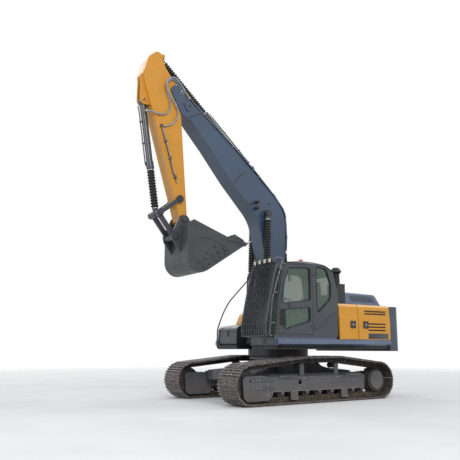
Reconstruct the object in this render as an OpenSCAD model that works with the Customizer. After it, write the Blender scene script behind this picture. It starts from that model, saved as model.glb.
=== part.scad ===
// Crawler excavator with a box boom, an arm, a digging bucket and a guarded cab.
// Millimetres. +X is the digging direction, +Y the cab side, +Z up.
// The origin is on the ground under the swing axis.

/* [Undercarriage] */
// Distance between the idler axis and the sprocket axis
tumbler_l = 3650; // [3500:10:3800]
// Distance between the middles of the two tracks
gauge = 2380; // [2300:10:2500]
// Width of a track shoe
shoe_w = 700; // [600:10:760]
// Number of shoes in one track
shoe_n = 50; // [46:1:54]
// Radius of the shoe plates' outer face round the idler
end_r = 396; // [380:2:410]
// Height of a shoe's lugs
lug_h = 26; // [15:1:35]
// Thickness of a shoe's plate
plate_t = 18; // [12:1:24]
// Height of the track's links
link_h = 104; // [90:1:115]
// Width of one strand of links
strand_w = 42; // [30:1:55]
// Gap between the two strands of links
strand_gap = 110; // [90:2:130]
// Radius of the carrier rollers
carrier_r = 60; // [50:1:70]
// Height of the carrier rollers' axis
carrier_z = 777; // [760:1:790]
// Place of the front carrier roller along the track
carrier_front_x = 390; // [300:10:500]
// Place of the rear carrier roller along the track
carrier_rear_x = -610; // [-700:10:-500]
// Radius of the track rollers
roller_r = 78; // [70:1:84]
// Width of the side frames
side_frame_w = 360; // [320:10:400]
// Underside of the side frames
side_frame_z = 262; // [250:2:280]
// Top of the side frames' outer wall
side_frame_top = 560; // [520:5:600]

/* [Swing bearing] */
// Radius of the bearing's running face
bearing_r = 640; // [600:5:680]
// Radial thickness of each race
race_t = 70; // [50:5:90]
// Top of the fixed centre frame
centre_frame_top = 950; // [930:5:970]
// Height of the fixed race
race_h = 100; // [80:5:120]

/* [Upper frame] */
// Underside of the upper frame
deck_z = 1130; // [1110:5:1150]
// Thickness of the upper frame's deck
deck_t = 90; // [60:5:110]
// Half of the width of the bodywork
body_half_w = 1340; // [1300:5:1380]
// Front edge of the deck beside the boom
deck_front_x = 1060; // [980:10:1100]
// Front edge of the deck on the side away from the cab
right_front_x = 900; // [860:10:980]
// Rear edge of the deck, at the counterweight
deck_rear_x = -2410; // [-2500:10:-2300]
// Half of the width of the gap in which the boom moves
boom_gap = 420; // [410:5:440]
// Top of the side sills
sill_top = 1350; // [1320:5:1380]
// Underside of the side sills
sill_bottom = 1215; // [1190:5:1240]
// Reach of the side sills beyond the bodywork
sill_out = 50; // [20:5:70]

/* [Cab] */
// Underside of the cab
cab_z = 1400; // [1380:5:1420]
// Width of the cab
cab_w = 920; // [880:10:960]
// Thickness of the cab's walls
cab_wall = 55; // [40:1:70]
// Height of the cab's roof
cab_roof_z = 3075; // [3000:5:3120]
// Thickness of the window panes
glass_t = 6; // [4:1:10]
// Rear edge of the cab door
door_rear_x = 50; // [20:5:90]
// Gap round the cab door
door_gap = 8; // [6:1:12]
// Thickness of the cab door
door_t = 48; // [35:1:54]
// Number of upright bars in the front guard
guard_bars = 13; // [9:1:17]
// Diameter of the guard's bars
guard_bar_d = 16; // [10:1:22]

/* [Bodywork] */
// Top of the engine bodywork's side doors
side_door_top = 2180; // [2100:5:2250]
// Thickness of the side doors
side_door_t = 36; // [25:1:50]
// Line between the front and the rear side door
side_door_split = -1320; // [-1400:10:-1250]
// Front edge of the front side door
side_door_front = -725; // [-760:5:-715]
// Top of the engine hood
hood_top = 2490; // [2420:5:2540]
// Rear face of the counterweight
cw_rear_x = -2900; // [-3000:10:-2800]
// Underside of the counterweight
cw_bottom = 1085; // [1060:5:1120]
// Top of the counterweight
cw_top = 2160; // [2100:5:2200]

/* [Boom] */
// Distance from the boom's foot pin to its arm pin
boom_l = 5700; // [5500:10:5800]
// Angle of the line between those pins above the ground
boom_angle = 60.3; // [56:0.1:62]
// Width of the boom
boom_w = 420; // [400:5:430]
// Place of the boom's foot pin along X
foot_x = 120; // [80:5:160]
// Height of the boom's foot pin
foot_z = 1886; // [1860:2:1910]
// Thickness of the boom's fork ears
fork_t = 34; // [26:1:38]

/* [Arm] */
// Distance from the arm's boom pin to its bucket pin
arm_l = 2920; // [2800:10:3000]
// Angle of the line between those pins above the ground
arm_angle = -94.8; // [-98:0.1:-92]
// Width of the arm
arm_w = 340; // [320:2:340]

/* [Bucket] */
// Width of the bucket over its side plates
bucket_w = 1080; // [900:10:1150]
// Thickness of the bucket's side plates
bucket_side_t = 25; // [18:1:32]
// Thickness of the bucket's back
bucket_back_t = 22; // [16:1:30]
// Number of teeth
tooth_n = 5; // [3:1:6]
// Width of a tooth
tooth_w = 85; // [70:1:100]

/* [Cylinders] */
// Distance of the boom cylinders from the middle
boom_cyl_y = 310; // [306:1:316]
// Radius of the boom cylinders' barrels
boom_cyl_r = 78; // [70:1:84]
// Radius of the arm cylinder's barrel
arm_cyl_r = 82; // [74:1:90]
// Radius of the bucket cylinder's barrel
bucket_cyl_r = 72; // [64:1:80]
// Radius of the rods
rod_r = 46; // [40:1:50]
// Radius of the pins at the cylinders' ends
pin_r = 42; // [38:1:46]

/* [Hidden] */

// Finishes
slate = [0.22, 0.25, 0.29];
boom_blue = [0.30, 0.36, 0.44];
sun_yellow = [0.87, 0.60, 0.12];
frame_grey = [0.42, 0.42, 0.43];
worn_steel = [0.45, 0.42, 0.40];
dark_iron = [0.16, 0.16, 0.17];
rubber = [0.07, 0.07, 0.08];
chrome_rod = [0.75, 0.76, 0.78];
pane = [0.55, 0.72, 0.66, 0.4];
cloth_grey = [0.30, 0.31, 0.32];
lamp_white = [0.93, 0.93, 0.88];
beacon_red = [0.85, 0.16, 0.08];
hose_silver = [0.62, 0.64, 0.68];

// Radial gap of a pin in its bore, and axial gap between the parts of a pin joint
pin_gap = 0.5;
side_gap = 0.6;
// Gap of a seated piece to its seat
seat_gap = 0.3;

// Two-dimensional helpers: an outline is a table of corners [along, up, corner radius]
function unit(v) = v / norm(v);
function corner(a, b, c, r, steps) =
    r <= 0 ? [b] :
    let (u = unit(a - b), v = unit(c - b), half = acos(max(-1, min(1, u * v))) / 2,
        p = b + u * r / tan(half), q = b + v * r / tan(half), m = b + unit(u + v) * r / sin(half),
        a0 = atan2(p[1] - m[1], p[0] - m[0]), a1 = atan2(q[1] - m[1], q[0] - m[0]),
        turn = (a1 - a0 + 540) % 360 - 180)
    [for (i = [0 : steps]) m + r * [cos(a0 + turn * i / steps), sin(a0 + turn * i / steps)]];
function xz(row) = [row[0], row[1]];
function outline(rows, steps = 6) = let (n = len(rows))
    [for (i = [0 : n - 1]) each corner(xz(rows[(i + n - 1) % n]), xz(rows[i]), xz(rows[(i + 1) % n]),
        rows[i][2], steps)];
// The same table moved inwards by d; its corners run anticlockwise
function inset(rows, d) = let (n = len(rows))
    [for (i = [0 : n - 1]) let (a = xz(rows[(i + n - 1) % n]), b = xz(rows[i]), c = xz(rows[(i + 1) % n]),
        u = unit(b - a), v = unit(c - b), nu = [-u[1], u[0]], nv = [-v[1], v[0]], m = unit(nu + nv),
        q = b + m * d / (m * nu)) [q[0], q[1], max(0, rows[i][2] - d)]];
function turned(p, a) = [p[0] * cos(a) - p[1] * sin(a), p[0] * sin(a) + p[1] * cos(a)];

// Solid between y0 and y1 whose side view is the child
module across(y0, y1) translate([0, y1, 0]) rotate([90, 0, 0]) linear_extrude(y1 - y0) children();
// Solid between x0 and x1 whose view from the front is the child, drawn in Y and Z
module lengthways(x0, x1)
    translate([x0, 0, 0]) rotate([90, 0, 90]) linear_extrude(x1 - x0) children();
// Round bar along Y
module bar_y(at, r, y0, y1) translate([at[0], y1, at[1]]) rotate([90, 0, 0]) cylinder(r = r, h = y1 - y0, $fn = 48);
module both_sides() {
    children();
    mirror([0, 1, 0]) children();
}
// Corners of a bent tube, each rounded over a length t on both sides
function bend_at(a, b, c, t, n) = let (p = b + t * unit(a - b), q = b + t * unit(c - b))
    [for (k = [0 : n]) let (u = k / n) (1 - u) * (1 - u) * p + 2 * u * (1 - u) * b + u * u * q];
function bent(points, t, n = 3) = let (last = len(points) - 1)
    concat([points[0]], [for (i = [1 : last - 1]) each bend_at(points[i - 1], points[i], points[i + 1], t, n)],
        [points[last]]);

// Hose, pipe or tube: a round section carried along a line of points that never runs along `level`
hose_sides = 8;
function hose_ring(points, i, r, level) = let (last = len(points) - 1,
    d = unit(points[min(last, i + 1)] - points[max(0, i - 1)]), u = unit(cross(d, level)), v = cross(d, u))
    [for (k = [0 : hose_sides - 1]) let (a = 360 * k / hose_sides) points[i] + r * (u * cos(a) + v * sin(a))];
function spline_at(p0, p1, p2, p3, t) = 0.5 * (2 * p1 + (p2 - p0) * t + (2 * p0 - 5 * p1 + 4 * p2 - p3) * t * t
    + (3 * p1 - p0 - 3 * p2 + p3) * t * t * t);
function smooth(points, k) = let (last = len(points) - 1) [for (i = [0 : last - 1]) for (j = [0 : k - 1])
    spline_at(points[max(0, i - 1)], points[i], points[i + 1], points[min(last, i + 2)], j / k), points[last]];
module hose(points, r, level = [0, 1, 0]) {
    n = len(points);
    polyhedron([for (i = [0 : n - 1]) each hose_ring(points, i, r, level)], concat(
        [[for (k = [0 : hose_sides - 1]) k]],
        [for (i = [0 : n - 2]) for (k = [0 : hose_sides - 1]) let (a = i * hose_sides + k,
            b = i * hose_sides + (k + 1) % hose_sides) [b, a, a + hose_sides, b + hose_sides]],
        [[for (k = [hose_sides - 1 : -1 : 0]) (n - 1) * hose_sides + k]]), convexity = 6);
}

// Places of the front linkage in the side view
foot = [foot_x, foot_z];
elbow = foot + boom_l * [cos(boom_angle), sin(boom_angle)];
bucket_pin = elbow + arm_l * [cos(arm_angle), sin(arm_angle)];
function from_boom(p) = foot + turned(p, boom_angle);
function from_arm(p) = elbow + turned(p, arm_angle);
module at_boom() translate([foot[0], 0, foot[1]]) rotate([0, -boom_angle, 0]) children();
module at_arm() translate([elbow[0], 0, elbow[1]]) rotate([0, -arm_angle, 0]) children();
module at_bucket() translate([bucket_pin[0], 0, bucket_pin[1]]) children();

// Pins, in the frame of the piece that carries them
boom_cyl_base = [600, 1300];
boom_cyl_top = [2304, 880];
arm_cyl_base = [3420, 1165];
arm_cyl_top = [-760, 250];
bucket_cyl_base = [301, 740];
link_pin = [2474, 74];
link_joint = [2790, 575];
bucket_link_pin = [207, -399];

// Track
end_z = end_r + lug_h;
carrier_belt_r = carrier_r + link_h + plate_t;
BELT = [[tumbler_l / 2, end_z, end_r], [carrier_front_x, carrier_z, carrier_belt_r],
    [carrier_rear_x, carrier_z, carrier_belt_r], [-tumbler_l / 2, end_z, end_r]];
function belt_wheel(i, d) = let (c = BELT[(i + 4) % 4]) [c[0], c[1], c[2] + d];
function wheel_step(i, d) = let (a = belt_wheel(i, d), b = belt_wheel(i + 1, d)) [b[0] - a[0], b[1] - a[1]];
function leave_angle(i, d) = let (s = wheel_step(i, d), a = belt_wheel(i, d), b = belt_wheel(i + 1, d))
    atan2(s[1], s[0]) - acos((a[2] - b[2]) / norm(s));
function wrap_angle(i, d) = (leave_angle(i, d) - leave_angle(i - 1, d) + 720) % 360;
function arc_len(i, d) = belt_wheel(i, d)[2] * wrap_angle(i, d) * PI / 180;
function run_len(i, d) = let (s = wheel_step(i, d), dr = belt_wheel(i, d)[2] - belt_wheel(i + 1, d)[2])
    sqrt(s * s - dr * dr);
function belt_start(i, d) = i == 0 ? 0 : belt_start(i - 1, d) + arc_len(i - 1, d) + run_len(i - 1, d);
belt_len = belt_start(4, 0);
// Point at a length s along the belt: [x, z, direction of the outward normal]
function belt_at(s, i = 0) = s > belt_start(i + 1, 0) && i < 3 ? belt_at(s, i + 1) :
    let (c = belt_wheel(i, 0), u = s - belt_start(i, 0), over = u - arc_len(i, 0),
        a = over > 0 ? leave_angle(i, 0) : leave_angle(i - 1, 0) + u / c[2] * 180 / PI,
        p = xz(c) + c[2] * [cos(a), sin(a)] + max(0, over) * [-sin(a), cos(a)]) [p[0], p[1], a];
belt_step = 12;
// Plain outline of the belt, moved outwards by d
function belt_outline(d) = [for (i = [0 : 3]) let (c = belt_wheel(i, d), w = wrap_angle(i, d), n = ceil(w / belt_step))
    for (k = [0 : n]) let (a = leave_angle(i - 1, d) + w * k / n) xz(c) + c[2] * [cos(a), sin(a)]];
shoe_pitch = belt_len / shoe_n;
lug_places = [-0.33, 0, 0.33];
lug_foot = 0.055;
function lug_outline() = [for (k = [0 : shoe_n - 1]) let (p = belt_at((k + 0.5) * shoe_pitch), a = p[2],
    t = [-sin(a), cos(a)], n = [cos(a), sin(a)])
    for (g = lug_places) each [xz(p) + t * shoe_pitch * (g - lug_foot), xz(p) + t * shoe_pitch * g + n * lug_h,
        xz(p) + t * shoe_pitch * (g + lug_foot)]];
rail_drop = plate_t + link_h;
rail_z = lug_h + rail_drop;
rail_r = end_r - rail_drop;
track_y = gauge / 2;

module track() {
    translate([0, track_y, 0]) {
        across(-shoe_w / 2, shoe_w / 2) difference() {
            polygon(lug_outline());
            polygon(belt_outline(-plate_t));
        }
        for (side = [-1, 1]) {
            middle = side * (strand_gap + strand_w) / 2;
            across(middle - strand_w / 2, middle + strand_w / 2) difference() {
                polygon(belt_outline(1 - plate_t));
                polygon(belt_outline(-rail_drop));
            }
        }
    }
}
module track_left() color(worn_steel) track();
module track_right() color(worn_steel) mirror([0, 1, 0]) track();

// Fixed centre frame: a round pedestal on four splayed legs
leg_angles = [32, 148, 212, 328];
leg_half_w = 150;
frame_inner_y = track_y - side_frame_w / 2;
pedestal_r = bearing_r - race_t;
module car_body() color(frame_grey) {
    intersection() {
        union() {
            translate([0, 0, 560]) cylinder(r = pedestal_r - 20, h = centre_frame_top - 600, $fn = 64);
            for (a = leg_angles) rotate([0, 0, a]) translate([0, leg_half_w, 0]) rotate([90, 0, 0])
                linear_extrude(2 * leg_half_w) polygon(outline([[200, 500, 0], [1500, 430, 0], [1700, 430, 0],
                    [1700, 640, 60], [1150, 700, 200], [600, 880, 60], [200, 880, 0]]));
        }
        translate([-1400, -frame_inner_y, 0]) cube([2800, 2 * frame_inner_y, 1200]);
    }
    translate([0, 0, centre_frame_top - 50]) cylinder(r = bearing_r + 40, h = 50, $fn = 96);
}
module swing_race_lower() color(dark_iron) translate([0, 0, centre_frame_top]) difference() {
    cylinder(r = bearing_r, h = race_h, $fn = 128);
    translate([0, 0, -1]) cylinder(r = bearing_r - race_t, h = race_h + 2, $fn = 128);
}

// Side frame: a box beam with an idler yoke in front and a drive bracket behind
yoke_x = tumbler_l / 2 - 575;
yoke_front_x = tumbler_l / 2 + 150;
beam_rear_x = -tumbler_l / 2 + 400;
yoke_plate_t = 28;
roller_xs = [1250, 956, 653, 279, -76, -435, -792, -1092, -1375];
guard_places = [2, 6];
carrier_xs = [carrier_front_x, carrier_rear_x];
// Side view of the yoke plates: [along, up, corner radius]
YOKE = [[yoke_x, 150, 0], [yoke_x + 60, 90, 30], [yoke_front_x - 40, 90, 120], [yoke_front_x, 590, 90],
    [yoke_x + 250, 600, 60], [yoke_x, 560, 0]];
// Distance of the posts' inner face from the beam's outer face
carrier_post_in = 80;
channel_w = 234;
channel_top = 325;
module side_frame() {
    y0 = frame_inner_y;
    y1 = track_y + side_frame_w / 2;
    difference() {
        union() {
            lengthways(beam_rear_x, yoke_x) polygon([[y0, side_frame_z], [y1, side_frame_z], [y1, side_frame_top],
                [y1 - 110, side_frame_top + 50], [y0 + 60, side_frame_top + 50], [y0, side_frame_top - 40]]);
            for (y = [y0, y1 - yoke_plate_t]) across(y, y + yoke_plate_t) polygon(outline(YOKE));
            across(y0, y0 + 60) polygon(outline([[beam_rear_x + 1, side_frame_z, 0], [beam_rear_x + 1, 600, 0],
                [-tumbler_l / 2 - 60, 640, 180], [-tumbler_l / 2 - 60, 200, 180]]));
            // Ribs along the yoke and steps on the beam
            for (z = [330, 490]) translate([yoke_x - 60, y1 - 1, z]) cube([560, 26, 26]);
            for (x = [600, -1290]) translate([x, y1 - 130, side_frame_top - 12]) cube([480, 175, 40]);
            // Posts of the carrier rollers
            for (x = carrier_xs) translate([x - 55, y1 - carrier_post_in, side_frame_top])
                cube([110, 40, carrier_z - side_frame_top + 45]);
            // Side guards of the track rollers
            for (i = guard_places) translate([roller_xs[i] - 90, y1 - 20, 90])
                cube([180, 30, side_frame_z - 85]);
        }
        // Channel in which the rollers run
        translate([beam_rear_x - 1, track_y - channel_w / 2, side_frame_z - 100])
            cube([yoke_x - beam_rear_x + 2, channel_w, channel_top - side_frame_z + 100]);
        bar_y([490, 446], 52, y1 - 120, y1 + 10);
        across(y1 - 60, y1 + 10) polygon(outline([[tumbler_l / 2 - 62, 470, 0], [tumbler_l / 2 - 30, 470, 15],
            [tumbler_l / 2 - 30, 530, 15], [tumbler_l / 2 - 62, 530, 0]]));
        for (x = carrier_xs) bar_y([x, carrier_z], 31, y1 - 200, y1);
    }
}
module side_frame_left() color(frame_grey) side_frame();
module side_frame_right() color(frame_grey) mirror([0, 1, 0]) side_frame();

// Idler with a middle flange between the strands of links
idler_hub_w = side_frame_w - 2 * yoke_plate_t - 2 * seat_gap;
module idlers() color(dark_iron) both_sides() {
    at = [tumbler_l / 2, end_z];
    bar_y(at, rail_r - 3, track_y - 100, track_y + 100);
    bar_y(at, rail_r + 18, track_y - strand_gap / 2 + 6, track_y + strand_gap / 2 - 6);
    bar_y(at, 90, track_y - idler_hub_w / 2, track_y + idler_hub_w / 2);
}
// Sprocket and final drive
sprocket_n = 21;
sprocket_r = rail_r + 26;
SPROCKET = [for (i = [0 : sprocket_n - 1]) each [for (k = [[0, -26], [0.3, 0], [0.6, 0], [0.8, -26]])
    (sprocket_r + k[1]) * [cos(360 * (i + k[0]) / sprocket_n), sin(360 * (i + k[0]) / sprocket_n)]]];
module final_drives() color(dark_iron) both_sides() {
    at = [-tumbler_l / 2, end_z];
    translate([at[0], 0, at[1]]) across(track_y - 25, track_y + 25) polygon(SPROCKET);
    bar_y(at, 200, frame_inner_y + 60, track_y - 24);
    bar_y(at, 250, track_y + 24, track_y + 175);
    bar_y(at, 210, track_y + 174, track_y + 215);
}
// Track rollers: two treads with flanges on one shaft, under the side frame
module track_roller(x) {
    at = [x, rail_z + seat_gap + roller_r];
    for (side = [-1, 1]) {
        middle = track_y + side * (strand_gap + strand_w) / 2;
        bar_y(at, roller_r, middle - 30, middle + 30);
        bar_y(at, roller_r + 14, middle + side * 30 - 7, middle + side * 30 + 7);
    }
    bar_y(at, roller_r - 22, track_y - 110, track_y + 110);
    bar_y(at, 30, frame_inner_y + 30, track_y + side_frame_w / 2 - 30);
    for (side = [-1, 1]) translate([x - 45, track_y + side * 133 - 13, at[1] - 40])
        cube([90, 26, side_frame_z - at[1] + 40 - seat_gap]);
}
module track_rollers() color(dark_iron) both_sides() for (x = roller_xs) track_roller(x);
module carrier_rollers() color(dark_iron) both_sides() for (x = carrier_xs) {
    at = [x, carrier_z];
    bar_y(at, carrier_r - seat_gap, track_y - 105, track_y - 30);
    bar_y(at, carrier_r - seat_gap, track_y + 30, track_y + 95);
    bar_y(at, 30, track_y - 110, track_y + side_frame_w / 2 - carrier_post_in + 35);
}

// Upper frame: deck, boom bracket plates, race, sills and cab base
bracket_y = boom_w / 2 + 8;
bracket_t = 46;
foot_pin_r = 60;
cyl_eye_half = 40;
cab_y0 = boom_gap;
cab_y1 = cab_y0 + cab_w;
// Side view of the boom bracket plates: [along, up, corner radius]
nose_r = 80;
bracket_rear_x = -1320;
BRACKET = [[bracket_rear_x, deck_z + deck_t - 1, 0], [300, deck_z + deck_t - 1, 0],
    [boom_cyl_base[0] - nose_r, boom_cyl_base[1] - nose_r, 0],
    [boom_cyl_base[0] + nose_r, boom_cyl_base[1] - nose_r, nose_r - 1],
    [boom_cyl_base[0] + nose_r, boom_cyl_base[1] + nose_r, nose_r - 1], [490, boom_cyl_base[1] + nose_r, 60],
    [foot_x + 165, foot_z - 60, 60], [foot_x + 150, foot_z + 150, 140],
    [foot_x - 150, foot_z + 150, 140], [-380, 1640, 150], [bracket_rear_x, 1350, 60]];
// Front edge of the deck under the boom
gap_front_x = 480;
// Plan of the deck: [along, across, corner radius]
DECK = [[deck_rear_x, -body_half_w + 40, 0], [right_front_x, -body_half_w + 40, 60],
    [right_front_x, -boom_gap, 0], [gap_front_x, -boom_gap, 0], [gap_front_x, boom_gap, 0], [deck_front_x, boom_gap, 0],
    [deck_front_x, body_half_w - 40, 60], [deck_rear_x, body_half_w - 40, 0]];
// Sill with a sloping outer face
module sill(front_x) lengthways(deck_rear_x + 12, front_x) polygon([[body_half_w - 41, deck_z + 20],
    [body_half_w, sill_bottom], [body_half_w + sill_out, sill_bottom + 30], [body_half_w + 20, sill_top],
    [body_half_w - 20, sill_top], [body_half_w - 41, deck_z + deck_t]]);
module platform() color(slate) {
    translate([0, 0, deck_z]) linear_extrude(deck_t) polygon(outline(DECK));
    translate([0, 0, deck_z - 10]) difference() {
        cylinder(r = bearing_r + race_t, h = 11, $fn = 96);
        translate([0, 0, -1]) cylinder(r = bearing_r - 10, h = 13, $fn = 96);
    }
    translate([0, 0, centre_frame_top + 25]) difference() {
        cylinder(r = bearing_r + race_t, h = deck_z - centre_frame_top - 25, $fn = 128);
        translate([0, 0, -1]) cylinder(r = bearing_r + side_gap, h = deck_z, $fn = 128);
    }
    both_sides() across(bracket_y, bracket_y + bracket_t) polygon(outline(BRACKET));
    bar_y(foot, foot_pin_r, -bracket_y - bracket_t - 14, bracket_y + bracket_t + 14);
    bar_y(boom_cyl_base, pin_r, -bracket_y - 1, bracket_y + 1);
    both_sides() bar_y(boom_cyl_base, pin_r, bracket_y, boom_cyl_y + cyl_eye_half + 20);
    sill(deck_front_x);
    mirror([0, 1, 0]) sill(right_front_x);
    // Box under the cab
    translate([-690, cab_y0 + 10, deck_z + deck_t - 1]) cube([deck_front_x + 740, cab_w - 40, cab_z - deck_z - deck_t + 1]);
}

// Cab: side view of the shell, anticlockwise: [along, up, corner radius]
CAB = [[-690, cab_z, 40], [1112, cab_z, 30], [1076, 1643, 0], [1036, 2092, 0], [938, 2591, 0],
    [818, cab_roof_z - 75, 90], [414, cab_roof_z - 5, 0], [25, cab_roof_z, 0], [-290, cab_roof_z - 38, 150],
    [-560, cab_roof_z - 160, 160], [-690, 2500, 200], [-712, 2250, 0]];
// View from the front of the cab's rounded roof edges: [across, up, corner radius]
CAB_FRONT = [[cab_y0, cab_z, 0], [cab_y1, cab_z, 0], [cab_y1, cab_roof_z + 5, 110], [cab_y0, cab_roof_z + 5, 110]];
// Cab door, anticlockwise: [along, up, corner radius]
DOOR = [[door_rear_x, 1450, 30], [1040, 1450, 60], [1022, 1643, 0], [984, 2092, 0], [888, 2580, 0],
    [790, cab_roof_z - 118, 90], [door_rear_x, cab_roof_z - 82, 60]];
DOOR_UPPER_PANE = [[118, 2205, 40], [905, 2105, 70], [918, 2250, 0], [838, 2600, 0], [722, 2890, 90], [118, 2930, 60]];
DOOR_LOWER_PANE = [[133, 1740, 50], [800, 1565, 60], [985, 1660, 60], [975, 1965, 50], [133, 2050, 50]];
QUARTER_PANE = [[-66, 1905, 40], [-66, 2975, 40], [-370, 2935, 120], [-500, 2600, 150], [-490, 2260, 150]];
side_pane_y = cab_y1 - 32;
window_y0 = cab_y0 + 75;
window_y1 = cab_y1 - 75;
// Boxes through the curved front, roof and back of the cab: [x0, x1, z0, z1]
CURVED_WINDOWS = [[860, 1300, 1740, 2860], [960, 1300, 1450, 1690], [-900, -540, 1950, 2780], [150, 650, 2980, 3200]];
RIGHT_PANE = [[-520, 1950, 80], [930, 1900, 80], [860, 2400, 0], [740, 2890, 100], [-420, 2880, 160]];
module window_boxes(gap) for (w = CURVED_WINDOWS)
    translate([w[0] + gap, window_y0 + gap, w[2] + gap])
        cube([w[1] - w[0] - 2 * gap, window_y1 - window_y0 - 2 * gap, w[3] - w[2] - 2 * gap]);
module cab_shell() color(slate) difference() {
    intersection() {
        across(cab_y0, cab_y1) polygon(outline(CAB));
        lengthways(-1000, 1400) polygon(outline(CAB_FRONT));
    }
    intersection() {
        across(cab_y0 + cab_wall, cab_y1 - cab_wall) polygon(outline(inset(CAB, cab_wall)));
        lengthways(-1000, 1400) polygon(outline(inset(CAB_FRONT, cab_wall)));
    }
    across(cab_y1 - cab_wall - 10, cab_y1 + 10) polygon(outline(inset(DOOR, -door_gap)));
    across(cab_y1 - cab_wall - 10, cab_y1 + 10) polygon(outline(QUARTER_PANE));
    across(cab_y0 - 10, cab_y0 + cab_wall + 10) polygon(outline(RIGHT_PANE));
    window_boxes(0);
}
module cab_glass() color(pane) {
    across(side_pane_y, side_pane_y + glass_t) polygon(outline(inset(QUARTER_PANE, seat_gap)));
    across(cab_y0 + 30, cab_y0 + 30 + glass_t) polygon(outline(inset(RIGHT_PANE, seat_gap)));
    intersection() {
        across(window_y0, window_y1) difference() {
            polygon(outline(inset(CAB, 18)));
            polygon(outline(inset(CAB, 18 + glass_t)));
        }
        window_boxes(seat_gap);
    }
}
knuckle_r = 13;
door_hinge = [door_rear_x - 22, cab_y1 + knuckle_r + seat_gap];
module cab_door() color(slate) {
    difference() {
        across(cab_y1 - door_t, cab_y1) polygon(outline(DOOR));
        across(cab_y1 - door_t - 10, cab_y1 + 10) polygon(outline(DOOR_UPPER_PANE));
        across(cab_y1 - door_t - 10, cab_y1 + 10) polygon(outline(DOOR_LOWER_PANE));
    }
    for (z = [1560, 2760]) {
        translate([door_hinge[0], door_hinge[1], z]) cylinder(r = knuckle_r, h = 90, $fn = 32);
        translate([door_hinge[0], cab_y1 + 1, z + 10]) cube([60, 14, 70]);
        translate([door_rear_x + 12, cab_y1 - 1, z + 10]) cube([50, 10, 70]);
    }
    translate([640, cab_y1 - 1, 2035]) cube([110, 22, 60]);
}
module door_glass() color(pane) for (rows = [DOOR_UPPER_PANE, DOOR_LOWER_PANE])
    across(side_pane_y, side_pane_y + glass_t) polygon(outline(inset(rows, seat_gap)));

// Inside of the cab
seat_x = 60;
seat_y = (cab_y0 + cab_y1) / 2;
cab_floor = cab_z + cab_wall;
module cab_seat() color(cloth_grey) translate([seat_x, seat_y, cab_floor]) {
    translate([-170, -170, 0]) cube([340, 340, 261]);
    across(-235, 235) polygon(outline([[-250, 260, 30], [250, 260, 50], [260, 395, 50], [-250, 375, 30]]));
    across(-225, 225) polygon(outline([[-330, 300, 30], [-200, 300, 30], [-300, 940, 50], [-420, 940, 50]]));
    across(-130, 130) polygon(outline([[-400, 880, 0], [-335, 880, 0], [-350, 1130, 34], [-430, 1130, 34]]));
}
module cab_controls() color(dark_iron) translate([seat_x, seat_y, cab_floor]) {
    for (side = [-1, 1]) {
        translate([-250, side * 315 - 60, 0]) cube([560, 120, 480]);
        translate([210, side * 315, 479]) cylinder(r = 18, h = 200, $fn = 24);
        translate([210, side * 315, 679]) sphere(r = 30, $fn = 24);
        translate([560, side * 90, 5]) rotate([0, 12, 0]) cylinder(r = 12, h = 480, $fn = 24);
        translate([500, side * 90 - 45, 0]) cube([150, 90, 40]);
    }
    translate([640, -390, 0]) cube([60, 60, 700]);
    translate([600, -395, 700]) cube([60, 170, 150]);
}

// Front guard: upright and level bars in a frame that leans back, and is kinked low down
GUARD = [[1330, 1405], [1340, 1670], [1228, 2200], [1120, 2650], [1035, 2950]];
guard_y0 = cab_y0 + 20;
guard_y1 = cab_y1 - 25;
guard_frame_r = 20;
// Strip of half thickness r along the guard's line, and its crossings with the level bars
function guard_side(d) = [for (i = [0 : len(GUARD) - 1]) let (a = GUARD[max(0, i - 1)], b = GUARD[min(4, i + 1)],
    t = unit(b - a)) GUARD[i] + d * [t[1], -t[0]]];
function reversed(list) = [for (i = [len(list) - 1 : -1 : 0]) list[i]];
function guard_levels() = [for (i = [0 : len(GUARD) - 2]) each [GUARD[i], (GUARD[i] + GUARD[i + 1]) / 2], GUARD[4]];
module guard_strip(y, r, depth) across(y - r, y + r) polygon(concat(guard_side(depth), reversed(guard_side(-depth))));
guard_rail_r = guard_frame_r - 3;
module front_guard() color(dark_iron) {
    for (i = [1 : guard_bars]) guard_strip(guard_y0 + (guard_y1 - guard_y0) * i / (guard_bars + 1), guard_bar_d / 2, 15);
    for (y = [guard_y0, guard_y1]) guard_strip(y, 14, guard_frame_r);
    for (p = guard_levels())
        bar_y(p, p == GUARD[0] || p == GUARD[4] ? guard_rail_r : guard_bar_d / 2, guard_y0, guard_y1);
    // Arms that carry the guard on the cab and on the platform
    for (y = [guard_y0 + 25, guard_y1 - 25]) {
        across(y - 12, y + 12) polygon([[GUARD[4][0], GUARD[4][1] - 15], [GUARD[4][0], GUARD[4][1] + 10],
            [838, 2970], [838, 2935]]);
        translate([1111, y - 12, 1408]) cube([GUARD[0][0] - 1111, 24, 30]);
    }
}
lamp_ys = [560, 740, 930, 1110];
lamp_bar_r = 13;
lamp_bar_z = GUARD[4][1] + guard_rail_r + lamp_bar_r + seat_gap;
module work_lamps() color(lamp_white) {
    bar_y([GUARD[4][0], lamp_bar_z], lamp_bar_r, guard_y0, guard_y1);
    for (y = lamp_ys) translate([GUARD[4][0], y, lamp_bar_z]) {
        translate([-12, -12, lamp_bar_r - 5]) cube([24, 24, 30]);
        translate([-35, 0, 70]) rotate([0, 90, 0]) cylinder(r1 = 36, r2 = 46, h = 70, $fn = 40);
    }
}
module beacon() color(beacon_red) translate([20, cab_y1 - 420, cab_roof_z + seat_gap]) {
    cylinder(r = 62, h = 30, $fn = 40);
    translate([0, 0, 29]) cylinder(r = 50, h = 84, $fn = 40);
}

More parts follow.
